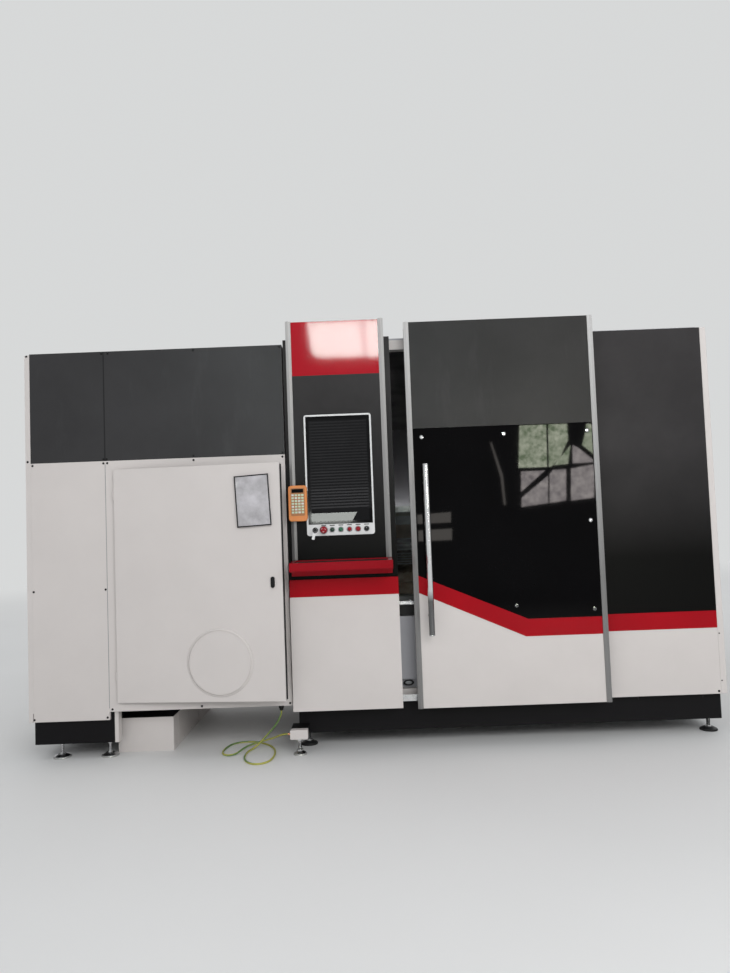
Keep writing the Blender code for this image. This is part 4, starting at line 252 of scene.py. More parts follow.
# Painted shade: the polished steel darkens below 0.87 m, to a fifth at 0.81 m.
surface("chrome", "polished_steel_tube", (0.74, 0.74, 0.75), 0.13, metallic=1.0,
        fade=(0.81, 0.87, 0.2), blotch=0.03, grain=900, stretch=(1, 1, 0.03),
        grain_depth=0.00003)
surface("glass", "black_acrylic_glass", (0.0018, 0.0016, 0.002), 0.02, specular=0.06,
        blotch=0.2, rough_vary=0.02, grain_depth=0)
surface("screen", "dark_screen_glass", (0.0028, 0.0028, 0.0031), 0.05, specular=0.06,
        blotch=0.2, rough_vary=0.03, grain_depth=0)
surface("black_plastic", "black_moulded_plastic", (0.0085, 0.0085, 0.0092), 0.42,
        specular=0.18, grain=900, grain_depth=0.0001)
surface("white_plastic", "white_moulded_plastic", (0.66, 0.66, 0.66), 0.34, specular=0.4,
        blotch=0.02, grain=700, grain_depth=0.00006)
surface("red_plastic", "red_moulded_plastic", (0.28, 0.014, 0.023), 0.45, specular=0.12,
        **MOULDED)
surface("green_plastic", "green_moulded_plastic", (0.02, 0.13, 0.065), 0.28, specular=0.35,
        **MOULDED)
surface("dark_green", "dark_green_plastic", (0.008, 0.035, 0.022), 0.3, specular=0.35,
        **MOULDED)
surface("orange", "orange_pendant_shell", (0.66, 0.225, 0.055), 0.42, specular=0.4,
        grain=700, grain_depth=0.0001, blotch=0.06, blotch_scale=20)
surface("key_pale", "pale_green_keys", (0.5, 0.6, 0.44), 0.5, grain_depth=0)
# Painted reflection: the film's lighter cloud colour stands in for the whitish reflections of
# its creases.
surface("pocket", "grey_translucent_pocket", (0.36, 0.35, 0.36), 0.2, specular=0.45,
        blotch_colour=(0.56, 0.545, 0.57), blotch_scale=9, grain=30, grain_depth=0.0012)
surface("cast", "machined_casting", (0.17, 0.175, 0.18), 0.5, metallic=0.35, blotch=0.12,
        blotch_scale=8, grain=240)
surface("slat", "oxidised_slat_steel", (0.15, 0.128, 0.105), 0.5, metallic=0.7,
        blotch_colour=(0.075, 0.05, 0.035), blotch_scale=12, grain=200)
surface("frame_paint", "grey_green_frame_paint", (0.3, 0.31, 0.3), 0.5, blotch=0.06,
        grain=250, dust=0.12)
surface("brown", "brown_guard", (0.2, 0.145, 0.1), 0.6, blotch=0.2, blotch_scale=10)
surface("apron", "cool_grey_coat", (0.46, 0.46, 0.49), 0.5, specular=0.3)
surface("copper", "copper_nozzle", (0.66, 0.3, 0.17), 0.25, metallic=1.0, blotch_scale=30,
        grain_depth=0)
surface("blue_hose", "blue_air_hose", (0.02, 0.1, 0.42), 0.35, grain_depth=0)
surface("rubber", "black_rubber", (0.016, 0.016, 0.017), 0.75, specular=0.25, grain=500,
        grain_depth=0.0003)
surface("lamp", "lamp_diffuser", (1.0, 0.98, 0.94), 0.5, emission=1.0, grain_depth=0,
        blotch=0.0)
surface("strip_lamp", "strip_diffuser", (1.0, 0.99, 0.98), 0.5, emission=7.0, grain_depth=0,
        blotch=0.0)
surface("yellow_wire", "earth_wire_yellow", (0.43, 0.42, 0.085), **JACKET)
surface("green_wire", "earth_wire_green", (0.13, 0.24, 0.07), **JACKET)
surface("display", "display_behind_glass", (0.011, 0.011, 0.0118), 0.008, specular=0.06,
        blotch=0.15, grain_depth=0, rough_vary=0.004)
surface("pendant_panel", "pendant_keypad_film", (0.34, 0.13, 0.035), 0.45, grain_depth=0)
surface("key_white", "white_keys", (0.62, 0.62, 0.58), 0.5, grain_depth=0)
surface("olive", "olive_strip", (0.115, 0.115, 0.085), 0.55, grain_depth=0)
surface("grey_plastic", "grey_moulded_plastic", (0.26, 0.27, 0.28), 0.5, grain=500,
        grain_depth=0.0001)
surface("inside_white", "inside_white_coat", (0.5, 0.5, 0.5), 0.5, blotch=0.03)
surface("zinc", "zinc_plate", (0.5, 0.5, 0.49), 0.42, metallic=0.75, blotch=0.1,
        blotch_scale=22, grain=180, grain_depth=0.00008)
# The looks that pieces of each slot have
NODE_LOOKS = {
    "anthracite": "cabinet_narrow_upper cabinet_wide_upper",
    "white": """right_lower_panel console_lower_cover cabinet_narrow_lower cabinet_front
        cabinet_body cabinet_door round_cover left_wall right_wall rear_wall roof fume_duct
        front_frame door_lower_panel rear_door""",
    "dark": "door_upper_panel",
    "side_panel": "right_upper_panel",
    "red_shade": "keyboard_tray",
    "face": "console_face console_body",
    "red": "right_red_band console_red_band door_red_band",
    "red_mirror": "console_top_cover",
    "black": "base_skirt cabinet_plinth door_frame front_foot",
    "silver": "cutting_head",
    "trim_silver": "console_trim_left console_trim_right",
    "shade_silver": "door_trim_left door_trim_right",
    "steel": "door_rail_bottom",
    "chrome": "door_handle",
    "glass": "door_window",
    "screen": "monitor_screen",
    "frame_paint": "base_frame bed_frame",
    "apron": "front_apron door_rail_top",
    "slat": "slat_table",
    "cast": "gantry_beam carriage",
    "zinc": "mounting_plate",
    "grey": "laser_source",
    "pocket": "document_pocket",
    "orange": "hand_pendant",
    "black_plastic": "cabinet_lock key_switch selector_knob monitor_bezel",
    "red_plastic": "emergency_stop push_button_3 push_button_4",
    "dark_green": "push_button_1",
    "green_plastic": "push_button_2",
}


def dress_nodes():
    """Give each CAD node its material, and some of its faces a second one."""
    for look, names in NODE_LOOKS.items():
        for name in names.split():
            slots = NODES[name].data.materials
            slots.clear()
            slots.append(MATERIALS[look])
    for name, look, test in (
            ("cabinet_plinth", "steel", lambda p: p.center.z < 0.0845),
            # Painted shade: the base frame's low parts and feet are blackened steel, as dark as
            # the shade under the skirt.
            ("base_frame", "dark_steel", lambda p: p.center.z < 0.2495),
            ("front_foot", "steel", lambda p: p.center.z < 0.0875),
            ("bed_frame", "steel", lambda p: p.center.z > 0.9365),
            ("gantry_beam", "dark_steel", lambda p: p.center.y < BEAM_FRONT - 0.0005
             and p.center.z < 1.2),
            ("front_apron", "steel", lambda p: p.center.z > 0.7765),
            # Painted shade: the duct's upward faces are black, for the shade under the cabinet.
            ("fume_duct", "black", lambda p: p.normal.z > 0.9),
            # Painted shade on the roof's underside.
            ("roof", "roof_painted_shade", lambda p: p.normal.z < -0.9),
            ("rear_wall", "apron", lambda p: p.center.y < 2.1353),
            ("left_wall", "apron", lambda p: p.normal.x > 0.9),
            ("right_wall", "apron", lambda p: p.normal.x < -0.9),
            ("monitor_bezel", "white_plastic", lambda p: p.normal.y < -0.5)):
        mesh = NODES[name].data
        mesh.materials.append(MATERIALS[look])
        for polygon in mesh.polygons:
            if test(polygon):
                polygon.material_index = len(mesh.materials) - 1


# Shapes: each of these adds to the piece that is being made

def settle(name, data, body, looks):
    """Give a mesh its materials and let it ride on its body."""
    for look in looks:
        data.materials.append(MATERIALS[look])
    made = add_object(name, data)
    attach(made, body)


@contextmanager
def piece(name, looks, body="machine", smooth=False):
    """What the block under it adds becomes one piece."""
    global shape
    shape = bmesh.new()
    yield
    bmesh.ops.recalc_face_normals(shape, faces=shape.faces)
    data = bpy.data.meshes.new(name)
    shape.to_mesh(data)
    shape.free()
    settle(name, data, body, looks.split())
    if smooth:
        data.shade_smooth()
        data.set_sharp_from_angle(angle=math.radians(38))


def finish_solid(verts, matrix, bevel, segments=2):
    if matrix is not None:
        bmesh.ops.transform(shape, matrix=matrix, verts=verts)
    if bevel:
        edges = list({edge for vert in verts for edge in vert.link_edges})
        bmesh.ops.bevel(shape, geom=edges, offset=bevel, segments=segments, profile=0.5,
                        affect="EDGES", clamp_overlap=True)


def box(low, high, bevel=0.0, matrix=None, segments=2):
    """A box between two corners with rounded edges."""
    made = bmesh.ops.create_cube(shape, size=1)["verts"]
    for vert in made:
        for axis in range(3):
            vert.co[axis] = ((low[axis] + high[axis]) / 2
                             + vert.co[axis] * (high[axis] - low[axis]))
    finish_solid(made, matrix, bevel, segments)


def slab(x, y, z, corners, bevel=0.0, matrix=None, segments=2):
    """A box whose two corners are given in millimetres from a point."""
    low, high = [(x + u, y + v, z + w) for u, v, w in mm(corners)]
    box(low, high, bevel, matrix, segments)


def band(one, two, paint=None):
    """Faces between two closed rows of points."""
    for i in range(len(one)):
        j = (i + 1) % len(one)
        face = shape.faces.new((one[i], one[j], two[j], two[i]))
        if paint:
            face.smooth = True
            face.material_index = paint(i)


def lathe(profile, matrix=None, segments=20, ring=False):
    """Turn (radius, height) points about local Z. A ring's profile closes on itself."""
    rows = [[shape.verts.new((radius * math.cos(a), radius * math.sin(a), height))
             for a in (arc(segments) if radius > 1e-7 else (0,))]
            for radius, height in profile]
    for one, two in list(zip(rows, rows[1:])) + [(rows[-1], rows[0])] * ring:
        for i in range(segments):
            j = (i + 1) % segments
            corners = list(dict.fromkeys((one[i % len(one)], one[j % len(one)],
                                          two[j % len(two)], two[i % len(two)])))
            if len(corners) > 2:
                shape.faces.new(corners)
    if not ring:
        for row in (rows[0], rows[-1]):
            if len(row) > 1:
                shape.faces.new(row)
    finish_solid([vert for row in rows for vert in row], matrix, 0)


def tube(points, radius, segments=8, paint=lambda n, i: 0):
    """Sweep a circle along points; paint(ring, side) gives a face its material."""
    points = [Vector(p) for p in points]
    rows = []
    across = None
    for i, point in enumerate(points):
        ahead = (points[min(i + 1, len(points) - 1)] - points[max(i - 1, 0)]).normalized()
        if across is None:
            across = ahead.orthogonal().normalized()
        else:
            across = (across - ahead * across.dot(ahead)).normalized()
        over = ahead.cross(across)
        rows.append([shape.verts.new(point + radius * (across * math.cos(a)
                                                       + over * math.sin(a)))
                     for a in arc(segments)])
    for n, (one, two) in enumerate(zip(rows, rows[1:])):
        band(one, two, lambda i: paint(n, i))
    shape.faces.new(rows[0][::-1])
    shape.faces.new(rows[-1])


def prism(outline, low, high, matrix=None, bevel=0.0):
    """A flat outline pushed from low to high along local Z."""
    verts = [shape.verts.new((u, v, low)) for u, v in outline]
    made = bmesh.ops.extrude_face_region(shape, geom=[shape.faces.new(verts)])["geom"]
    tops = [item for item in made if isinstance(item, bmesh.types.BMVert)]
    bmesh.ops.translate(shape, verts=tops, vec=(0, 0, high - low))
    finish_solid(verts + tops, matrix, bevel)


def steps(start, step, count):
    return [start + k * step for k in range(count)]


def arc(count, closed=0):
    """The angles of a circle's points; closed=1 repeats the first one."""
    return [k * math.tau / count for k in range(count + closed)]


def disc(u, v, radius, count):
    return [(u + radius * math.cos(a), v + radius * math.sin(a)) for a in arc(count)]


def hexagon(across):
    return disc(0, 0, across / 2 / math.cos(math.pi / 6), 6)


def rounded(left, right, low, high, radius, steps=5):
    points = []
    for u, v, quarter in ((right - radius, high - radius, 0), (left + radius, high - radius, 1),
                          (left + radius, low + radius, 2), (right - radius, low + radius, 3)):
        for step in range(steps + 1):
            angle = math.pi / 2 * (quarter + step / steps)
            points.append((u + radius * math.cos(angle), v + radius * math.sin(angle)))
    return points


def inset(low, high, margins, radius):
    """A rounded outline inside the front of a node's box, with margins in millimetres
    from its left, right, lower and upper edge."""
    left, right, bottom, top = mm(margins)[0]
    return rounded(low.x + left, high.x - right, low.z + bottom, high.z - top, radius)


def square(half, radius):
    return rounded(-half, half, -half, half, radius)


def ridge(wide, narrow, tall):
    """The outline of a low ridge on a face."""
    return [(-wide, 0.0002), (wide, 0.0002), (narrow, tall), (-narrow, tall)]


def screw(matrix, radius=0.0055, height=0.003):
    """A button-head screw with a hexagon socket."""
    socket = radius * 0.5
    lathe([(radius, 0), (radius, height * 0.35), (radius * 0.86, height * 0.75),
           (radius * 0.62, height), (socket, height), (socket * 0.95, height * 0.3),
           (0, height * 0.25)], matrix, 12)


def bolt(matrix, across, height, washer):
    """A hexagon bolt head on its washer."""
    lathe([(washer, 0), (washer, 0.002), (washer * 0.6, 0.0021), (0, 0.0021)], matrix, 20)
    prism(hexagon(across), 0.002, height, matrix, 0.0008)


def lathes(name, looks, profile, spots, segments, body="machine", smooth=True, ring=False):
    """A piece of one profile, turned at each of the spots."""
    with piece(name, looks, body, smooth):
        for spot in spots:
            lathe(mm(profile), spot, segments, ring)


def face_sheet(name, outline, holes, matrix, thick):
    """A thin white plate with holes, pushed out along local Z."""
    low = 0.0001
    data = bpy.data.curves.new(name, "CURVE")
    data.dimensions = "2D"
    data.fill_mode = "BOTH"
    data.extrude = (thick - low) / 2
    for ring in [outline] + holes:
        spline = data.splines.new("POLY")
        spline.points.add(len(ring) - 1)
        for point, (u, v) in zip(spline.points, ring):
            point.co = (u, v, 0, 1)
        spline.use_cyclic_u = True
    curve = add_object(name + "_curve", data)
    bpy.context.view_layer.update()
    mesh = bpy.data.meshes.new_from_object(
        curve.evaluated_get(bpy.context.evaluated_depsgraph_get()))
    bpy.data.objects.remove(curve)
    mesh.transform(matrix @ at(0, 0, (low + thick) / 2))
    mesh.materials.clear()
    settle(name, mesh, "machine", ["white_plastic"])


# Earth wire

WIRE_RADIUS = 0.005
# The wire's route in millimetres, with y from the front
WIRE_ROUTE = """-546 85 245.5, -546 85 225, -550 87 198, -565 93 164, -592 104 124,
    -626 118 86, -660 128 50, -690 127 21.5, -715 108 7, -732 70 5.4, -740 14 5.4,
    -736 -50 5.4, -716 -110 5.4, -678 -152 5.4, -633 -156 5.4, -598 -122 5.4, -581 -60 5.4,
    -580 16 5.4, -593 90 5.4, -622 152 5.4, -664 202 5.4, -722 240 5.4, -786 248 5.4,
    -840 220 5.4, -868 160 5.4, -877 98 5.4, -874 52 5.4, -854 16 5.6, -822 5 6.6,
    -792 25 9.2, -772 68 14.5, -744 120 19.5, -700 152 25.5, -650 152 38.5, -606 124 56,
    -574 88 75, -552 52 91, -529 29 101.5, -506 20 105, -486.8 20 105"""


def smooth_line(points, parts=6):
    """A Catmull-Rom line through the points."""
    line = []
    padded = [points[0]] + points + [points[-1]]
    for i in range(1, len(padded) - 2):
        a, b, c, d = (Vector(p) for p in padded[i - 1:i + 3])
        for t in (k / parts for k in range(parts)):
            line.append(0.5 * (2 * b + (c - a) * t + (2 * a - 5 * b + 4 * c - d) * t * t
                               + (3 * b - a - 3 * c + d) * t ** 3))
    return line + [Vector(points[-1])]


def make_wire():
    """Yellow-green wire from the cabinet's gland to the front foot's bracket."""
    line = smooth_line([(x, FRONT + y, z) for x, y, z in mm(WIRE_ROUTE)])
    for point in line:
        point.z = max(point.z, WIRE_RADIUS + 0.0003)
    with piece("earth_wire_jacket", "yellow_wire green_wire"):
        tube(line, WIRE_RADIUS, 12, lambda n, i: 1 if (i + n // 5) % 12 < 5 else 0)
    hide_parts("earth_wire")


# Small hardware of the front

def cabinet_hardware():
    """Button-head screws of the cabinet's and console's panels, and dark seam strips that paint
    the shadow of the gaps between them.
    """
    with piece("panel_screws", "black_plastic"):
        for x, z in mm("""-1499.4 2259, -1463.6 2259, -978.2 2259, -489.6 2259,
                -1497.8 1658.5, -1479.5 1658.5, -1925.1 2259, -1925.1 1658.5,
                -990.3 1658.5, -489.6 1658.5, -1898.1 1635.5, -1498.5 1635.5,
                -1476.5 1635.5, -990.3 1635.5, -490 1635.5, -1901.1 930, -1498.5 930,
                -1905.9 226.5, -1500.7 226.5, -1473 270, -977.6 270, -490 270"""):
            screw(front(x, CABINET_FACE, z), 0.0062)
        screw(front(1.8901, FRONT + 0.07, 0.242), 0.0062)
        for z in (0.3, 0.56):
            screw(front(1.91, FRONT + 0.07, z), 0.004, 0.002)
    forward = at(SEAM_X, CABINET_FACE, 0) @ axes((1, 0, 0), (0, -1, 0), (0, 0, 1))
    # Painted shadow: the seam strips stand in for the shadow in the gaps between the panels.
    with piece("panel_seam_painted_shadow", "rubber"):
        prism(ridge(0.0032, 0.0022, 0.0011), 1.651, 2.268, forward)
    with piece("panel_seam_low_painted_shadow", "grey_plastic"):
        prism(ridge(0.0016, 0.001, 0.0008), 0.276, 1.632, forward)


def glass_hardware():
    """Stainless through-bolts at the glass, with rubber washers behind their heads."""
    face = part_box("door_window")[0].y
    spots = [front(x, face, z) for x, z in mm(
        "292 1712, 751 1714, 1213 1716, 1208 1217, 1205 729, 777 762")]
    lathes("glass_bolts", "chrome", "11.2 1.2, 11.2 4, 9.8 6.2, 4.8 7.2, 4.2 4.5, 0 4.5",
           spots, 28, "sliding_door")
    lathes("glass_bolt_washers", "rubber", "12.8 0, 12.8 1, 11 1.2, 0 1.2", spots, 28,
           "sliding_door")


def handle_hardware():
    """Rosettes under the handle's posts, clamp rings on them and caps in its ends."""
    x = 0.301
    face = min(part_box("door_window")[0].y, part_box("door_upper_panel")[0].y)
    with piece("handle_fittings", "steel", "sliding_door", smooth=True):
        for z in (0.727, 1.455):
            lathe(mm("10.8 0.2, 13.5 0.2, 13.5 3, 12.5 5, 10.8 5"), front(x, face, z), 32, True)
            lathe(mm("10.4 50.5, 13.5 50.5, 13.5 58.5, 10.4 58.5"), front(x, face, z), 24,
                  True)
            screw(side(x + 0.0133, face - 0.0545, z), 0.0025, 0.0012)
        for z, degrees in ((0.627, 180), (1.555, 0)):
            lathe(mm("16.2 -4, 16.6 -3, 16.6 0.6, 15 2.6, 6 3.4, 6 1.8, 0 1.8"),
                  at(x, FRONT - 0.075, z) @ turn(degrees, "X"), 32)


def door_trims():
    """Black end caps on the door's trims and a soft seal along its left edge."""
    with piece("door_trim_caps", "black_plastic", "sliding_door"):
        for name in ("door_trim_left", "door_trim_right"):
            low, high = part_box(name)
            box((low.x + 0.0015, low.y + 0.0015, low.z - 0.0032),
                (high.x - 0.0015, high.y - 0.0015, low.z - 0.0002), 0.0008)
    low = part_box("door_frame")[0]
    with piece("door_edge_seal", "rubber", "sliding_door"):
        prism(rounded(-0.006, 0.006, 0.245, 2.335, 0.003), 0.0002, 0.0016,
              side(low.x, low.y + 0.016, 0, -1) @ turn(-90, "Z"), 0.0005)


# From the key to the selector: the plate's hole, the ring's bore and its outside
CONTROLS = mm("""10.5 10.5 15, 20.6 20.8 22.6, 11.8 12.2 15, 11.8 12.2 15, 11.8 12.2 15,
    13.8 14.2 16.2, 8.5 12.6 15""")


def controls():
    """Face plate, rings, domes and blank label strips of the controls."""
    low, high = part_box("monitor_bezel")
    face, z = low.y, CONTROL_Z
    xs = [TOWER + (i - 3) * CONTROL_PITCH for i in range(7)]
    face_sheet("control_plate", rounded(low.x + 0.0035, high.x - 0.0035, low.z + 0.0035,
                                        low.z + 0.0595, 0.011),
               [disc(x, z, hole, 32) for x, (hole, _, _) in zip(xs, CONTROLS)],
               front(0, face, 0), 0.0007)
    face_sheet("monitor_frame_face", inset(low, high, "1.4 1.4 60.4 1.4", 0.0125),
               [inset(low, high, "8.8 8.8 62.2 9", 0.003)], front(0, face, 0), 0.0006)
    for name, look, chosen in (("control_rings", "grey_plastic", range(1, 6)),
                               ("switch_rings", "black_plastic", (0, 6))):
        with piece(name, look, smooth=True):
            for i in chosen:
                _, bore, outer = CONTROLS[i]
                edge, tall, slope = (1.8, 2.4, 0.6) if i < 2 else (3.0, 4.2, 1.0)
                lathe([(bore, 0.0008), (outer, 0.0008), (outer, edge / 1000),
                       (outer - slope / 1000, tall / 1000), (bore, tall / 1000)],
                      front(xs[i], face, z), 28, True)
    with piece("blank_label_strips", "black_plastic"):
        for x in xs[1:]:
            slab(x, face, z, "-13.5 -1.3 21.5, 13.5 -0.8 26.2", 0.0003)
    low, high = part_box("monitor_screen")
    with piece("screen_display_area", "display"):
        prism(inset(low, high, "17 17 17 22", 0.002), 0.0, 0.0003,
              front(0, low.y - 0.00005, 0))
    for i, look in ((2, "dark_green"), (3, "green_plastic"), (4, "red_plastic"),
                    (5, "red_plastic")):
        name = "push_button_%d" % (i - 1)
        radius = 8.2 if i < 5 else 9.8
        lathes(name + "_dome", look, "%s 0.05, %s 0.6, %s 1.5, 0 1.9" % (
            radius, radius, radius * 0.78), [front(xs[i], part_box(name)[0].y, z)], 24, name)
    stop = front(xs[1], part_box("emergency_stop")[0].y, z)
    lathes("emergency_stop_dome", "red_plastic",
           "17.2 0.1, 16.8 1.2, 12.5 3.6, 6.2 4.8, 0 5.1", [stop], 32, "emergency_stop")
    with piece("emergency_stop_marks", "white_plastic", "emergency_stop"):
        for start in (0, 2.094, 4.189):
            bend = [(math.cos(start + 0.1 * k), math.sin(start + 0.1 * k)) for k in range(9)]
            prism([(0.0118 * u, 0.0118 * v) for u, v in bend]
                  + [(0.0098 * u, 0.0098 * v) for u, v in bend[::-1]], 0.0026, 0.0046, stop)
    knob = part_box("selector_knob")[0].y
    with piece("selector_pointer", "white_plastic", "selector_knob"):
        slab(xs[6], knob, z, "-0.8 -0.4 1.5, 0.8 -0.02 9.5", 0.0002)
    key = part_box("key_switch")[0].y
    with piece("key_ring", "steel", "key_switch"):
        tube([(xs[0] - 0.001 + 0.00425 * math.sin(a), key + 0.005,
               z - 0.0105 + 0.0085 * math.cos(a)) for a in arc(24, 1)], 0.0007, 6)
    with piece("key_tag", "white_plastic", "key_switch"):
        prism(rounded(-0.0075, 0.0075, -0.018, 0.018, 0.003), -0.0012, 0.0012,
              at(xs[0] - 0.006, key + 0.0035, z - 0.0335) @ turn(12, "Y") @ turn(78, "X"),
              0.0005)


def pendant():
    """Keypad film, display window, keys, grips and antenna of the hand pendant."""
    low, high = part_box("hand_pendant")
    face, depth = front(0, low.y, 0), (low.y + high.y) / 2
    with piece("pendant_panel", "pendant_panel"):
        prism(inset(low, high, "13 13 30 14", 0.006), 0.0, 0.0006, face, 0.0002)
    with piece("pendant_display", "screen"):
        prism(rounded(low.x + 0.019, high.x - 0.019, high.z - 0.04, high.z - 0.019, 0.002),
              0.0006, 0.0012, face, 0.0002)
    for name, look, white in (("pendant_keys_pale", "key_pale", False),
                              ("pendant_keys_white", "key_white", True)):
        with piece(name, look):
            for row, z in enumerate(steps(high.z - 0.053, -0.0158, 7)):
                for column, x in enumerate(steps(low.x + 0.0245, 0.018, 4)):
                    if ((row * 3 + column * 5) % 4 == 0) == white:
                        slab(x, low.y, z, "-6.8 -2.1 -5.4, 6.8 -0.7 5.4", 0.0006)
    with piece("pendant_grips", "black_plastic"):
        for x in (low.x - 0.0022, high.x - 0.0003):
            box((x, low.y + 0.008, low.z + 0.03),
                (x + 0.0025, high.y - 0.009, high.z - 0.03), 0.001)
        for z in (low.z + 0.045, low.z + 0.15):
            screw(side(low.x - 0.002, depth, z, -1), 0.003, 0.001)
    lathes("pendant_antenna", "black_plastic",
           "6.5 0.2, 6.5 3, 4.8 4, 4.2 22, 3 24.5, 0 24.7",
           [at(high.x - 0.02, depth, high.z)], 20)


def desk():
    """Rubber mat in the desk's recess and screws in its ends."""
    low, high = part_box("keyboard_tray")
    with piece("desk_mat", "rubber"):
        prism(rounded(low.x + 0.03, high.x - 0.03, -0.155, -0.018, 0.006), 1.0452, 1.047,
              at(0, FRONT, 0), 0.0005)
    with piece("desk_screws", "black_plastic"):
        for x, sign in ((low.x, -1), (high.x, 1)):
            for back in (0.02, 0.12):
                screw(side(x, FRONT - back, 1.018, sign), 0.0045, 0.0022)


def pocket():
    """A pocket of clear film, wavy between its welded edges, in its black frame."""
    along, half = 0.8015, 0.191 / 2
    bottom, top = 1.25, 1.531
    face = LEAF_FACE - 0.0143
    middle = at(along, 0, (bottom + top) / 2)
    tilted = LEAF @ middle @ turn(-2.6, "Y") @ middle.inverted()
    with piece("pocket_film", "pocket", "cabinet_door", smooth=True):
        rows = []
        for j in range(29):
            v = bottom + 0.001 + (top - bottom - 0.002) * j / 28
            row = []
            for i in range(21):
                u = along - half + 0.001 + (2 * half - 0.002) * i / 20
                calm = min(1.0, min(i, 20 - i) / 3, min(j, 28 - j) / 3)
                wave = (0.0016 * math.sin(u * 61 + 3 * math.sin(v * 23))
                        + 0.0012 * math.sin(v * 74 + 2 * math.sin(u * 40)))
                row.append(shape.verts.new((u, face + 0.0005 + calm * (0.0022 + wave), v)))
            rows.append(row)
        for one, two in zip(rows, rows[1:]):
            for i in range(20):
                shape.faces.new((one[i], one[i + 1], two[i + 1], two[i]))
        rim = (rows[0] + [row[-1] for row in rows[1:]] + rows[-1][-2::-1]
               + [row[0] for row in rows[-2:0:-1]])
        backs = [shape.verts.new((vert.co.x, LEAF_FACE - 0.0005, vert.co.z)) for vert in rim]
        band(rim, backs)
        shape.faces.new(backs)
        bmesh.ops.transform(shape, matrix=tilted, verts=shape.verts)
    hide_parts("document_pocket")
    edge = 0.0062
    with piece("pocket_frame", "black_plastic", "cabinet_door"):
        for u0, v0, u1, v1 in ((-half, bottom, edge - half, top),
                               (half - edge, bottom, half, top),
                               (-half, bottom, half, bottom + edge),
                               (-half, top - edge, half, top)):
            box((along + u0, face - 0.0016, v0), (along + u1, face + 0.0002, v1), 0.0005,
                tilted)


def cabinet_door_parts():
    """Painted shadow strip at the free edge, pocket, lock paddle, seal, stiffeners, earth stud
    and the cover's beads.
    """
    edge, back = 0.9517, LEAF_BACK + 0.0002
    # Painted shadow: a black rubber strip along the free edge stands in for the shadow in the
    # gap beside it.
    with piece("door_edge_painted_shadow", "rubber", "cabinet_door"):
        prism([(edge + 0.0003, -0.004), (edge + 0.0056, -0.0032), (edge + 0.0062, 0.003),
               (edge + 0.0062, 0.011), (edge + 0.0003, 0.0125)], 0.318, 1.586, LEAF, 0.0008)
    pocket()
    lock = LEAF @ front(0.897, LEAF_FACE - 0.0083, 0.945)
    with piece("lock_paddle", "black_plastic", "cabinet_lock"):
        prism(rounded(-0.0075, 0.0075, -0.01, 0.0265, 0.006), 0.0, 0.0022, lock, 0.0007)
        lathe(mm("6.2 0, 6.2 1.8, 5 2.6, 0 2.6"), lock @ at(0, -0.02, 0), 24)
    with piece("door_seal", "rubber", "cabinet_door"):
        path = [LEAF @ Vector((u, LEAF_BACK + 0.0007, v))
                for u, v in rounded(0.04, 0.917, 0.34, 1.565, 0.02, 4)]
        tube(path + path[:1], 0.0006, 6)
    with piece("door_stiffeners", "inside_white", "cabinet_door"):
        for u in (0.23, 0.7):
            prism([(u + du, back + dy) for du, dy in mm(
                """-30 0, -18 0, -14 18, 14 18, 18 0, 30 0, 30 2, 19.5 2, 15.5 20,
                -15.5 20, -19.5 2, -30 2""")], 0.42, 1.5, LEAF)
        slab(0, LEAF_BACK, 0, "360 0.3 700, 580 12.5 1010", 0.003, LEAF)
    with piece("door_earth_stud", "steel", "cabinet_door"):
        bolt(LEAF @ rear(0.1, back, 0.4), 0.01, 0.007, 0.008)
    cover = LEAF @ front(0.592, LEAF_FACE - 0.0083, 0.519)
    with piece("round_cover_bead", "white", "cabinet_door", smooth=True):
        lathe(mm("175.3 0.1, 185 0.1, 184.2 2.2, 181.5 5, 178 6.8, 175.3 7.2"),
              cover @ at(0, 0, -0.008), 96, True)
        lathe(mm("165.5 0.1, 165.5 0.6, 164 1, 162.5 0.6, 162.5 0.1"), cover, 96, True)


# Feet, gland and duct

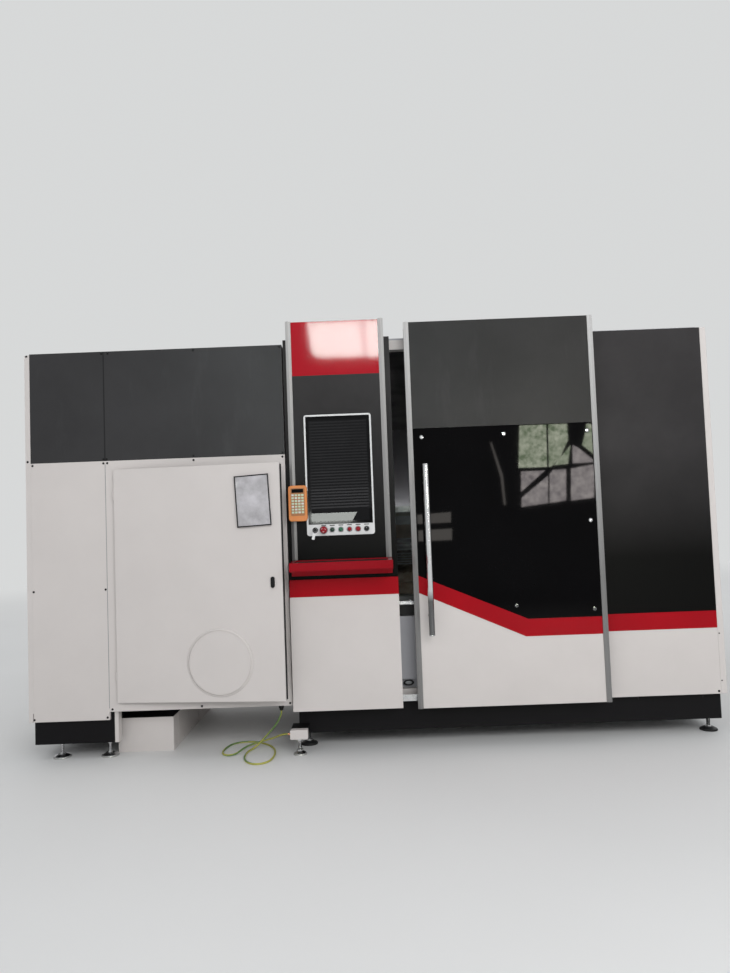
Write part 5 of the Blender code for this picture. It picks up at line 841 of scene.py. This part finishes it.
def feet():
    """Threads, nuts and rubber pads on the levelling feet, and the bracket's cap."""
    spots = []
    for name, stem, low, pitch in (("base_frame", 0.01, 0.25, 0.0045),
                                   ("cabinet_plinth", 0.007, 0.085, 0.003),
                                   ("front_foot", 0.01, 0.088, 0.003)):
        groups = []
        for spot in (v.co.xy.copy() for v in NODES[name].data.vertices if v.co.z < 0.004):
            near = [group for group in groups if (group[0] - spot).length < 0.11]
            if near:
                near[0].append(spot)
            else:
                groups.append([spot])
        for xs, ys in (zip(*group) for group in groups):
            place = at((min(xs) + max(xs)) / 2, (min(ys) + max(ys)) / 2, 0)
            spots.append((name, place, (max(xs) - min(xs)) / 2, stem, low, pitch))
    with piece("foot_nuts", "steel"):
        for _, place, _, stem, low, _ in spots:
            outer = stem * 1.62 / math.cos(math.pi / 6)
            for z, tall in ((low - 0.0135, 0.013), (0.0215, 0.007)):
                lathe([(stem + 0.0003, z), (outer, z), (outer, z + tall),
                       (stem + 0.0003, z + tall)], place, 6, True)
    with piece("foot_threads", "steel"):
        for _, place, _, stem, low, pitch in spots:
            z = 0.031
            while z < low - 0.018:
                lathe([(stem - 0.0004, z), (stem + 0.0009, z + 0.0011),
                       (stem - 0.0004, z + 0.0022)], place, 16, True)
                z += pitch
    for rims, look, frames in (("foot_pad_rims", "rubber", ("base_frame",)),
                               ("foot_pad_rings", "zinc", ("cabinet_plinth", "front_foot"))):
        with piece(rims, look, smooth=True):
            for name, place, pad, _, _, _ in spots:
                if name in frames:
                    lathe([(pad + u, z) for u, z in mm(
                        "0.2 0.3, 3 0.3, 3.6 3.5, 2.6 6.8, 0.2 7.2")], place, 32, True)
    low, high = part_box("front_foot")
    with piece("foot_bracket_cap", "white"):
        rear_rim, face, hollow = [
            [shape.verts.new((u, low.y + y, v)) for u, v in rounded(
                low.x - grow, high.x + grow, bottom, high.z + grow, radius, 3)]
            for grow, bottom, radius, y in ((0.0022, 0.0885, 0.004, 0.036),
                                            (0.0022, 0.0885, 0.004, -0.0022),
                                            (0.0003, 0.0891, 0.003, 0.036))]
        band(rear_rim, face)
        band(hollow, rear_rim)
        shape.faces.new(face)


def wire_ends():
    """Gland nut round the wire's exit, lug and bolt at the bracket."""
    lathes("wire_gland", "black_plastic",
           "5.6 -24, 7.5 -26, 10 -24, 11.8 -12, 15 -11, 15 -2, 5.6 -2",
           [at(-0.546, FRONT + 0.085, 0.2455)], 24, ring=True)
    lathes("wire_lug", "copper", "5.4 -20, 6.6 -20, 6.6 -0.6, 5.4 -0.6",
           [side(-0.4868, FRONT + 0.02, 0.105)], 20, smooth=False, ring=True)
    with piece("wire_lug_bolt", "steel"):
        bolt(side(-0.4862, FRONT + 0.02, 0.1215, -1), 0.01, 0.006, 0.008)


def duct_and_plinth():
    """Seam straps and rivets of the fume duct, screws of the skirts."""
    low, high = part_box("fume_duct")
    with piece("duct_straps", "white"):
        for y in steps(low.y + 0.1, 0.24, 4):
            slab(high.x, y, low.z, "0.2 0 6, 1.6 18 184", 0.0005)
    with piece("duct_rivets", "steel"):
        for y in steps(low.y + 0.06, 0.17, 6):
            screw(side(high.x, y, low.z + 0.02), 0.003, 0.0012)
    low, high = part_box("base_skirt")
    with piece("skirt_screws", "black_plastic"):
        for x in steps(low.x + 0.1, (high.x - low.x - 0.2) / 6, 7):
            screw(front(x, low.y, 0.205), 0.005, 0.0022)
            screw(rear(x, high.y, 0.205), 0.005, 0.0022)
        for y in steps(low.y + 0.2, (high.y - low.y - 0.4) / 8, 9):
            screw(side(high.x, y, 0.205), 0.005, 0.0022)
            screw(side(low.x, y, 0.205, -1), 0.005, 0.0022)


# Sides, rear and roof

SHEET = 0.0022
UPPER_SHEETS = (0.948, 2.272)
LOWER_SHEETS = (0.245, 0.85)
CABINET_UPPER = (1.652, 2.255)
CABINET_LOWER = (0.29, 1.644)


def cassettes(name, look, matrix, spans, rise):
    """A row of flat cover sheets on a wall, with small screws round their edges."""
    low, high = rise
    with piece(name, look):
        for u0, u1 in spans:
            prism(rounded(u0 + 0.002, u1 - 0.002, low + 0.002, high - 0.002, 0.004, 2),
                  0.0003, SHEET, matrix, 0.0006)
    with piece(name + "_screws", "black_plastic"):
        for u0, u1 in spans:
            for u in (u0 + 0.028, (u0 + u1) / 2, u1 - 0.028):
                for v in (low + 0.028, high - 0.028):
                    screw(matrix @ at(u, v, SHEET), height=0.0024)


def side_sheets(name, matrix, spans):
    """Dark upper and white lower cover sheets with a red band between them."""
    cassettes(name + "_upper", "anthracite", matrix, spans, UPPER_SHEETS)
    cassettes(name + "_lower", "white", matrix, spans, LOWER_SHEETS)
    with piece(name + "_band", "red"):
        for a, b in spans:
            prism(rounded(a + 0.002, b - 0.002, 0.854, 0.944, 0.003, 2), 0.0003, 0.0024,
                  matrix, 0.0006)


def louvre(matrix, width, height, rows):
    """A pressed vent: a row of hooded slots."""
    pitch = height / rows
    for k in range(rows):
        prism([(-pitch * 0.3, 0.0), (pitch * 0.3, 0.0), (pitch * 0.3, 0.0012),
               (-pitch * 0.3, pitch * 0.42)], 0.0, width,
              matrix @ at(-width / 2, (k + 0.5) * pitch - height / 2, 0) @ ALONG_X)


def right_side():
    """Cover sheets, a dark window, vents and latches on the right wall."""
    matrix = at(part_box("right_wall")[1].x, 0, 0) @ ALONG_X
    side_sheets("right_side", matrix, [(FRONT + 0.075, FRONT + 1.43),
                                       (FRONT + 1.43, FRONT + 2.79),
                                       (FRONT + 2.79, FRONT + 4.13)])
    with piece("right_side_window", "glass"):
        prism(rounded(FRONT + 1.62, FRONT + 2.6, 1.2, 1.9, 0.03), 0.0023, 0.0075, matrix,
              0.0012)
    lathes("right_window_bolts", "chrome", "11 0, 11 2, 9 4, 4.5 4.6, 4 3, 0 3",
           [matrix @ at(FRONT + u, v, 0.0075) for u in (1.67, 2.11, 2.55)
            for v in (1.25, 1.85)], 24)
    with piece("right_side_vents", "white"):
        for y in (FRONT + 0.75, FRONT + 3.46):
            louvre(matrix @ at(y, 0.545, SHEET), 0.42, 0.22, 9)
    with piece("right_side_latches", "black_plastic", smooth=True):
        for y in (FRONT + 1.6, FRONT + 2.62):
            for z in (0.36, 0.74):
                spot = matrix @ at(y, z, SHEET)
                lathe(mm("16 0, 16 3, 14.5 4.8, 7.5 4.8, 7.5 2, 0 2"), spot, 28)
                slab(0, 0, 0, "-4.5 -4.5 2, 4.5 4.5 4.2", 0.0004, spot)


def left_side():
    """Cover sheets on the enclosure behind the cabinet, cabinet sheets and vents."""
    side_sheets("left_side", at(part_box("left_wall")[0].x, 0, 0) @ TO_LEFT,
                [(-FRONT - 4.13, -FRONT - 2.79), (-FRONT - 2.79, -FRONT - 1.45)])
    outer = at(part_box("cabinet_body")[0].x, 0, 0) @ TO_LEFT
    spans = [(-FRONT - 1.315, -FRONT - 0.695), (-FRONT - 0.695, -FRONT - 0.075)]
    cassettes("cabinet_side_upper", "anthracite", outer, spans, CABINET_UPPER)
    cassettes("cabinet_side_lower", "white", outer, spans, CABINET_LOWER)
    with piece("cabinet_side_vents", "white"):
        for middle in (-FRONT - 1.005, -FRONT - 0.385):
            for z in (0.5, 1.42):
                louvre(outer @ at(middle, z, SHEET), 0.3, 0.2, 8)


def rear_side():
    """Cover sheets on the rear wall and the cabinet, fan filters and cable glands."""
    face = max(v.co.y for v in NODES["rear_wall"].data.vertices if v.co.z > 2.0)
    matrix = at(0, face, 0) @ TO_REAR
    spans = [(-1.9, -1.115), (-1.115, -0.335), (-0.335, 0.44)]
    cassettes("rear_top_sheets", "anthracite", matrix, spans, (1.68, 2.272))
    cassettes("rear_low_sheets", "white", matrix, spans, (0.245, 0.735))
    back = at(0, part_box("cabinet_body")[1].y, 0) @ TO_REAR
    spans = [(0.5, 1.205), (1.205, 1.915)]
    cassettes("cabinet_rear_sheets", "white", back, spans, CABINET_LOWER)
    cassettes("cabinet_rear_upper", "anthracite", back, spans, (1.652, 2.245))
    with piece("cabinet_fan_filters", "black_plastic"):
        for x in (0.852, 1.56):
            spot = back @ at(x, 1.3, SHEET)
            prism(square(0.125, 0.02), 0.0, 0.01, spot, 0.003)
            for v in steps(-0.088, 0.022, 9):
                slab(0, v, 0, "-95 -4 10, 95 4 13.5", 0.0015, spot)
    with piece("cabinet_rear_glands", "black_plastic", smooth=True):
        for x in steps(0.62, 0.07, 5):
            spot = back @ at(x, 0.42, SHEET)
            prism(hexagon(0.034), 0.0, 0.008, spot, 0.001)
            lathe(mm("13.5 8, 13.5 20, 11 24, 6.5 24, 6.5 12, 0 12"), spot, 24)


def roof_parts():
    """Seam caps, lifting eyes and a closed fume collar on the roof and the cabinet."""
    low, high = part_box("roof")
    with piece("roof_seam_caps", "white"):
        for k in range(1, 4):
            y = low.y + k * (high.y - low.y) / 4 + (0.25 if k == 2 else 0.0)
            prism(ridge(0.018, 0.015, 0.006), low.x + 0.02, high.x - 0.02,
                  at(0, y, high.z) @ ALONG_X)
    with piece("roof_lifting_eyes", "steel", smooth=True):
        for x in (low.x + 0.14, high.x - 0.14):
            for y in (low.y + 0.3, high.y - 0.3):
                lathe(mm("20 0.2, 20 6, 12 10, 0 10"), at(x, y, high.z), 24)
                tube([(x + 0.019 * math.cos(a), y, high.z + 0.031 + 0.019 * math.sin(a))
                      for a in arc(24, 1)], 0.0055, 10)
    collar = at(high.x - 0.42, high.y - 0.55, high.z)
    with piece("roof_fume_collar", "zinc", smooth=True):
        lathe(mm("100 0.2, 130 0.2, 130 3, 104 5, 102 55, 106 60, 100 62, 98 55"), collar,
              48, True)
        lathe(mm("97 30, 97 33, 0 34"), collar, 48)
    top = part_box("cabinet_body")[1].z
    with piece("cabinet_top_plate", "zinc"):
        prism(rounded(-0.24, 0.24, -0.09, 0.09, 0.012), 0.0003, 0.006,
              at(-1.18, FRONT + 1.12, top), 0.0015)
        for x in steps(-1.395, 0.086, 6):
            for y in (FRONT + 1.04, FRONT + 1.2):
                screw(at(x, y, top + 0.006), 0.005, 0.002)


# Moving parts inside

def rack_teeth(matrix, length, height):
    """A toothed rack along local X."""
    pitch, root = 0.0105, height * 0.78
    count = int(length / pitch)
    outline = [(0, 0)]
    for u in steps(0, pitch, count):
        outline += [(u, root), (u + pitch * 0.25, height), (u + pitch * 0.5, height),
                    (u + pitch * 0.75, root)]
    prism(outline + [(count * pitch, root), (count * pitch, 0)], 0, 0.016, matrix)


def servo(matrix):
    """A square servo motor with its flange, body, cooling fins and plug."""
    half, length = 0.045, 0.2
    prism(square(half, 0.01), 0.0, 0.014, matrix, 0.0015)
    prism(square(half * 0.94, 0.014), 0.014, length * 0.78, matrix, 0.002)
    for z in steps(0.03, 0.022, 6):
        prism(square(half * 0.98, 0.014), z, z + 0.006, matrix)
    prism(square(half * 0.8, 0.012), length * 0.78, length, matrix, 0.004)
    box((-half * 0.35, half * 0.8, length * 0.55), (half * 0.35, half * 1.3,
        length * 0.72), 0.004, matrix)


def gantry_parts():
    """Rack, guards, energy chain, dust skirt and drive motors of the gantry beam."""
    with piece("beam_rack", "dark_steel", "gantry"):
        rack_teeth(front(BEAM_LEFT, BEAM_FRONT - 0.0004, 1.075), BEAM_RIGHT - BEAM_LEFT,
                   0.022)
    for name, look, thick, low, high in (("beam_guard", "brown", 0.0042, 1.141, 1.228),
                                         ("beam_top_strip", "olive", 0.003, 1.28, 1.306)):
        with piece(name, look, "gantry"):
            box((BEAM_LEFT, BEAM_FRONT - thick, low), (BEAM_RIGHT, BEAM_FRONT - 0.0004,
                high), 0.0012)
    with piece("beam_ribs", "cast", "gantry"):
        for x in steps(BEAM_LEFT + 0.05, 0.2, 9):
            slab(x, FRONT, 0, "0 922 1075, 12 938 1300", 0.002)
    with piece("beam_chain_tray", "zinc", "gantry"):
        prism(mm("0 0.3, 120 0.3, 120 40, 117 40, 117 3.3, 3 3.3, 3 40, 0 40"), BEAM_LEFT,
              BEAM_RIGHT, at(0, FRONT + 0.775, 1.31) @ ALONG_X)
    with piece("beam_chain", "black_plastic", "gantry"):
        y, z = FRONT + 0.835, 1.3145
        for k, x in enumerate(steps(BEAM_LEFT + 0.03, 0.03, 22)):
            for across in (-0.042, 0.042):
                slab(x, y + across + k % 2 * 0.003, z, "-15.9 -3 0, 15.9 3 30", 0.002,
                     segments=1)
            for rise in (0.004, 0.026):
                slab(x, y, z + rise, "-6.75 -45 -2, 6.75 45 2", 0.001, segments=1)
    with piece("beam_dust_skirt", "cast", "gantry"):
        for z in steps(0.972, 0.016, 5):
            slab(0, BEAM_FRONT, z, "5 4 0, 1475 8 8", 0.001)
        for x in steps(0.03, 0.355, 5):
            slab(x, BEAM_FRONT, 0, "-6 7.8 971, 6 12 1062.2", 0.001)
    with piece("gantry_motors", "black_plastic", "gantry"):
        for x in TRUCKS:
            servo(at(x, FRONT + 0.8, 1.3102))
    with piece("truck_bolts", "steel", "gantry"):
        for x in TRUCKS:
            for dy in (-0.18, -0.14, 0.14, 0.18):
                for dx in (-0.035, 0.035):
                    screw(at(x + dx, FRONT + 0.8 + dy, 1.0702), 0.007, 0.006)


def head_parts():
    """Bolts of the carriage; covers, trims, nozzle and hoses of the cutting head."""
    low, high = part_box("carriage")
    with piece("carriage_bolts", "steel", "carriage"):
        for x in (low.x + 0.02, high.x - 0.02):
            for z in (1.085, 1.13, 1.24, 1.285, 1.395):
                screw(front(x, low.y + 0.0141, z), 0.007, 0.005)
    low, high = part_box("cutting_head")
    cx, cy, tip = (low.x + high.x) / 2, (low.y + high.y) / 2, 0.99
    with piece("head_covers", "black_plastic", "cutting_head"):
        for bottom, top, radius in ((1.245, 1.445, 0.01), (1.14, 1.232, 0.008)):
            prism(rounded(cx - 0.052, cx + 0.052, bottom, top, radius), 0.0, 0.0042,
                  front(0, low.y, 0), 0.0015)
    with piece("head_trims", "steel", "cutting_head", smooth=True):
        for z in (1.238, 1.45, 1.136):
            slab(cx, low.y, z, "-56 -2.4 -1.5, 56 -0.2 1.5", 0.0005)
        for x in (cx - 0.044, cx + 0.044):
            for z in (1.255, 1.435, 1.15, 1.222):
                screw(front(x, low.y - 0.0042, z), 0.004, 0.002)
        lathe(mm("36.2 62, 40 62, 40 78, 36.2 78"), at(cx, cy, tip), 32, True)
        lathe(mm("36.2 100, 39 100, 39 124, 36.2 124"), at(cx, cy, tip), 32, True)
        lathe(mm("30 0.2, 30 10, 20 16, 20 60, 24 66, 24 86, 0 86"), at(cx, cy, high.z), 32)
    lathes("head_nozzle", "copper",
           "1.6 -8, 4.2 -8, 7.2 -3, 10.5 3.5, 10.5 6.5, 6.4 6.6, 6.2 -0.1, 1.6 -0.2",
           [at(cx, cy, tip)], 24, "cutting_head", ring=True)
    z = high.z
    for name, look, hoses in (
            ("head_hoses_blue", "blue_hose", ((-0.044, 0.004, 0.055), (0.03, 0.0045, 0.079))),
            ("head_hoses_black", "black_plastic", ((-0.028, 0.0045, 0.067),
                                                   (0.046, 0.004, 0.091)))):
        with piece(name, look, "cutting_head"):
            for dx, radius, tall in hoses:
                tube(smooth_line([(cx + dx, cy + dy, z + tall * share) for dy, share in (
                    (-0.022, 0), (-0.022, 0.6), (-0.01, 1), (0.01, 1), (0.022, 0.6),
                    (0.022, 0))]), radius, 10)


def bed_parts():
    """Racks, rail plugs and stops, inner lamps, bolts and grommets of the sill."""
    for name, x in (("rack_left", -0.222), ("rack_right", 1.702)):
        with piece(name, "steel"):
            rack_teeth(at(x, FRONT + 0.42, 0.9352) @ ALONG_X, 3.62, 0.02)
    lathes("rail_plugs", "steel", "6.2 0.1, 6.2 0.6, 4.8 0.7, 0 0.3",
           [at(x, y, 0.965) for x in TRUCKS for y in steps(FRONT + 0.45, 0.122, 30)], 12,
           smooth=False)
    with piece("rail_stops", "black_plastic"):
        for x in TRUCKS:
            for y in (FRONT + 0.385, FRONT + 4.065):
                slab(x, y, 0, "-30 -12 935.3, 30 12 1000", 0.003)
    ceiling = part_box("roof")[0].z
    with piece("inner_lamps", "lamp"):
        for x in (0.1, 1.38):
            prism(rounded(-0.035, 0.035, 0.0, 0.03, 0.006), FRONT + 0.9, FRONT + 2.1,
                  at(x, 0, ceiling - 0.0305) @ axes((1, 0, 0), (0, 0, 1), (0, 1, 0)))
    low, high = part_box("front_apron")
    with piece("sill_bolts", "steel"):
        for x in steps(0.2, 0.22, 5):
            bolt(at(x, low.y + 0.03, high.z), 0.013, 0.007, 0.01)
    # Painted shade: a black strip fills the recess under the sill's edge, for the shade in it.
    with piece("sill_painted_shade_strip", "black_plastic"):
        box((low.x + 0.004, low.y - 0.004, 0.715), (high.x - 0.004, low.y - 0.0003,
            0.7755), 0.001)
    holes = [front(x, low.y, 0.341) @ Matrix.Diagonal((1.1, 0.6, 1, 1))
             for x in (0.172, 0.64, 1.08)]
    lathes("sill_grommet", "rubber", "17 0.3, 26 0.3, 27.5 4, 22 9, 17 7", holes, 32,
           ring=True)
    lathes("sill_grommet_plugs", "grey_plastic", "16.5 0.3, 16.5 3.5, 12 4.8, 0 5", holes, 32)
    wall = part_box("rear_wall")[0].y
    with piece("lamp_strips", "strip_lamp"):
        slab(0, wall, 0, "20 -130 1330, 1450 -100 1340", 0.002)
    with piece("lamp_housings", "grey"):
        slab(0, wall, 0, "0 -140 1315.5, 1470 -0.3 1329.5", 0.002)


# Inside the cabinet

def switchgear(left, right, face):
    """Fronts, marks, terminals and cable ducts on the mounting plate."""
    width = right - left
    drives = steps(left + width / 6, width / 6, 5)
    # The face and lower edge of each circuit breaker, in two rows
    breakers = [(x, face - deep, z) for x in steps(left + width / 10, width / 10, 9)
                for z, deep in ((1.275, 0.07), (1.07, 0.056))]
    with piece("drive_fronts", "inside_white"):
        for x in drives:
            prism(rounded(x - 0.038, x + 0.038, 1.486, 1.674, 0.004), 0.0002, 0.004,
                  front(0, face - 0.15, 0), 0.001)
            for fin in steps(x - 0.03, 0.008, 8):
                slab(fin, face, 0, "0 -135 1680.2, 2 -30 1684", 0.0004)
    with piece("drive_displays", "black_plastic"):
        for x in drives:
            slab(x, face, 0, "-26 -155.2 1630, 26 -154.1 1658", 0.0004)
            for key in steps(x - 0.024, 0.013, 4):
                slab(key, face, 0, "0 -155.2 1606, 8 -154.1 1614", 0.0004)
        for place in breakers:
            slab(*place, "-6 -10 40, 6 -0.2 56", 0.0012)
    with piece("terminals", "green_plastic"):
        for x in drives:
            for plug in steps(x - 0.033, 0.0112, 6):
                slab(plug, face, 0, "0 -159 1494, 9.5 -154.1 1520", 0.0006)
        for x in steps(left + 0.06, 0.0195, 44):
            slab(x, face, 0, "0 -34 862, 18.5 -6.2 912", 0.001, segments=1)
    with piece("terminal_rail", "zinc"):
        box((left + 0.045, face - 0.006, 0.869), (right - 0.045, face - 0.0002, 0.905),
            0.0006)
    with piece("breaker_fronts", "inside_white"):
        for x, y, z in breakers:
            for pole in (x - 0.0165, x, x + 0.0165):
                slab(pole, y, z, "-7.8 -4.2 20, 7.8 -0.2 66", 0.001, segments=1)
    with piece("cable_duct_lids", "grey_plastic"):
        for z in DUCT_ROWS:
            box((left + 0.043, face - 0.0622, z + 0.002), (right - 0.043, face - 0.0602,
                z + 0.038), 0.0006)
            for x in steps(left + 0.05, 0.0126, 70):
                for low in (z - 0.0022, z + 0.0402):
                    slab(x, face, low, "0 -50 0, 7.5 -12 2")


def plate_wires(name, look, left, face, first):
    """Every third wire from the cable ducts down to what stands under them."""
    with piece(name, look):
        for k in range(first, 18, 3):
            x = left + 0.08 + k * 0.048
            sway = 0.012 * math.sin(k * 2.3)
            end = x + sway * 0.4
            for duct, bottom, out in zip(DUCT_ROWS, (1.36, 1.155, 0.912),
                                         (0.03, 0.026, 0.02)):
                top, y = duct - 0.0005, face - out
                tube(smooth_line([(x, y, top), (x, y, top - 0.008),
                                  (x + sway, y - 0.006, (top + bottom) / 2),
                                  (end, y, bottom + 0.006), (end, y, bottom + 0.0005)], 4),
                     0.0022, 6)


def cabinet_inside():
    """Switchgear and its wires, and the laser source's front and ports."""
    low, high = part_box("mounting_plate")
    face = high.y - 0.004
    switchgear(low.x, high.x, face)
    for first, (name, look) in enumerate((("plate_wires_black", "black_plastic"),
                                          ("plate_wires_blue", "blue_hose"),
                                          ("plate_wires_red", "red_plastic"))):
        plate_wires(name, look, low.x, face, first)
    low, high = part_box("laser_source")
    y = low.y + 0.03
    with piece("source_front", "black_plastic"):
        prism(inset(low, high, "55 55 16 16", 0.006), 0.0002, 0.003, front(0, y, 0), 0.001)
        for x in steps(low.x + 0.09, 0.0068, 26):
            slab(x, y, low.z, "0 -5.2 40, 3.4 -3 130", 0.0006, segments=1)
    with piece("source_ports", "steel", smooth=True):
        for x in steps(low.x + 0.3, 0.04, 4):
            lathe(mm("14 0, 14 6, 11.5 12, 8.5 12, 8.5 4, 0 4"),
                  front(x, y - 0.003, low.z + 0.07), 24)
        lathe(mm("11 0, 11 4, 9 8, 0 8.5"), front(low.x + 0.32, y - 0.003, low.z + 0.15), 24)


# Stage, lights and world

def emitter(name, shapes, colour, strength, second=None):
    """Flat cards in front of the machine that only gloss sees. Their shapes are given in
    millimetres, where the front's plane mirrors them."""
    part = EYE_AHEAD / (EYE_AHEAD + CARDS_AHEAD)
    corners = []
    faces = []
    for outline in map(mm, shapes):
        faces.append(tuple(range(len(corners), len(corners) + len(outline))))
        corners += [(EYE_X + (x - EYE_X) / part, FRONT - CARDS_AHEAD,
                     EYE_Z + (z - EYE_Z) / part) for x, z in outline]
    data = bpy.data.meshes.new(name)
    data.from_pydata(corners, [], faces)
    card = add_object(name, data)
    made, tree, _ = new_material(name)
    if second:
        leaves = node(tree, "TexNoise", Vector=node(tree, "TexCoord", "Object"), Scale=6.5,
                      Detail=7.0, Roughness=0.8)
        colour = blend(tree, node(tree, "MapRange", Value=leaves, From_Min=0.38,
                                  From_Max=0.62), colour, second)
    glow = node(tree, "Emission", Color=colour, Strength=strength)
    feed(tree, tree.nodes["Material Output"].inputs["Surface"], glow)
    tree.nodes.remove(tree.nodes["Principled BSDF"])
    data.materials.append(made)
    card.visible_camera = False
    card.visible_diffuse = False
    card.visible_shadow = False
    card.visible_transmission = False


def make_cards():
    """Windows of the room that the gloss of the front mirrors."""
    emitter("top_window", ["-325 2385, -30 2385, -18 2178, -272 2182, -306 2215",
                           "4 2385, 110 2385, 110 2168, 12 2176"],
            (0.84, 1.0, 0.95), 54, (0.7, 0.82, 0.78))
    emitter("top_window_post", ["-30 2385, 4 2385, 12 2178, -18 2178"],
            (0.84, 0.95, 0.92), 36)
    emitter("upper_panes", ["841 1757, 990 1757, 983 1520, 824 1520",
                            "1000 1758, 1106 1757, 1107 1666, 1058 1570, 1008 1521, 992 1519",
                            "1119 1637, 1100 1533, 1019 1527",
                            "1213 1753, 1256 1751, 1250 1576, 1183 1635, 1200 1690"],
            (0.82, 0.86, 0.68), 85, (0.18, 0.25, 0.14))
    emitter("lower_panes", ["1130 1637, 1160 1622, 1243 1549, 1248 1537, 1125 1534",
                            "837 1500, 971 1501, 832 1386",
                            "986 1472, 978 1319, 831 1303, 833 1353",
                            "1015 1502, 1088 1504, 1079 1330, 987 1319, 995 1480",
                            "1115 1506, 1250 1526, 1234 1340, 1106 1328"],
            (0.7, 0.64, 0.62), 80, (0.3, 0.27, 0.28))
    emitter("pale_streaks", ["672 1669, 682 1669, 736 1484, 745 1317, 732 1318, 722 1471",
                             "250 1280, 439 1290, 436 1232, 250 1230",
                             "252 1194, 441 1198, 437 1135, 252 1134"],
            (0.62, 0.58, 0.54), 20)
    emitter("screen_streak", ["-349 1309, -82 1310, -112 1258, -334 1255"],
            (0.75, 0.78, 0.74), 98)
    for name, rows, strength in (("roof_ribs_low", range(0, 7), 9.0),
                                 ("roof_ribs_middle", range(7, 13), 5.6),
                                 ("roof_ribs_high", range(13, 31), 4.2)):
        emitter(name, ["-370 %s, 20 %s, 20 %s, -370 %s" % tuple(
            z + k * 16.4 for z in (1335, 1338, 1346, 1343)) for k in rows],
            (0.8, 0.8, 0.82), strength)


def make_stage():
    """Pale floor that fades into a pale background."""
    grid = bmesh.new()
    bmesh.ops.create_grid(grid, x_segments=4, y_segments=4, size=60)
    data = bpy.data.meshes.new("floor")
    grid.to_mesh(data)
    grid.free()
    floor = add_object("floor", data)
    made, tree, inputs = new_material("pale_floor")
    inputs["Roughness"].default_value = 0.55
    inputs["Specular IOR Level"].default_value = 0.25
    place = node(tree, "TexCoord", "Object")
    cloud = node(tree, "TexNoise", Vector=place, Scale=0.8, Detail=8.0)
    feed(tree, inputs["Base Color"], blend(tree, cloud, (0.78, 0.785, 0.78),
                                           (0.73, 0.735, 0.73)))
    far = node(tree, "VectorMath", "Value", operation="LENGTH", sockets=((0, place),))
    fade = node(tree, "MapRange", interpolation_type="SMOOTHSTEP", Value=far, From_Min=4.0,
                From_Max=15.0)
    glow = node(tree, "Emission", Color=BACKGROUND, Strength=1.0)
    near = tree.nodes["Principled BSDF"].outputs[0]
    feed(tree, tree.nodes["Material Output"].inputs["Surface"],
         node(tree, "MixShader", sockets=((0, fade), (1, near), (2, glow))))
    data.materials.append(made)


def make_light():
    """Even soft light, near the level at which a colour renders as written."""
    scene = bpy.context.scene
    scene.view_settings.view_transform = "Standard"
    scene.world = bpy.data.worlds.new("world")
    scene.world.use_nodes = True
    tree = scene.world.node_tree
    tree.nodes.clear()
    ray = tree.nodes.new("ShaderNodeLightPath").outputs
    seen = ray["Is Camera Ray"]
    for kind in ("Is Transmission Ray", "Is Glossy Ray"):
        seen = node(tree, "Math", operation="MAXIMUM", sockets=((0, seen), (1, ray[kind])))
    soft = node(tree, "Background", Color=(0.96, 0.975, 1.0), Strength=0.56)
    pale = node(tree, "Background", Color=BACKGROUND, Strength=1.0)
    out = tree.nodes.new("ShaderNodeOutputWorld")
    feed(tree, out.inputs["Surface"],
         node(tree, "MixShader", sockets=((0, seen), (1, soft), (2, pale))))
    for name, place, aim, size, power in (
            ("key_light", (-4.0, -8.5, 5.5), (0, -1, 1.0), (5.0, 3.0), 50),
            ("fill_light", (2.2, -7.6, 3.5), (0.6, -1, 0.9), (4.0, 2.4), 172),
            ("top_light", (0.0, -1.0, 8.0), (0, -1, 0), (6.0, 6.0), 85),
            ("back_light", (0.5, 7.5, 6.0), (0, 1, 1.0), (6.0, 3.0), 200)):
        data = bpy.data.lights.new(name, "AREA")
        data.shape = "RECTANGLE"
        data.size, data.size_y = size
        data.energy = power
        lamp = add_object(name, data)
        lamp.location = place
        lamp.rotation_euler = (Vector(aim) - Vector(place)).to_track_quat("-Z", "Y").to_euler()
        lamp.visible_glossy = False


make_camera()
make_wire()
dress_nodes()
cabinet_hardware()
glass_hardware()
handle_hardware()
door_trims()
controls()
pendant()
desk()
cabinet_door_parts()
feet()
wire_ends()
duct_and_plinth()
right_side()
left_side()
rear_side()
roof_parts()
gantry_parts()
head_parts()
bed_parts()
cabinet_inside()
make_cards()
make_stage()
make_light()
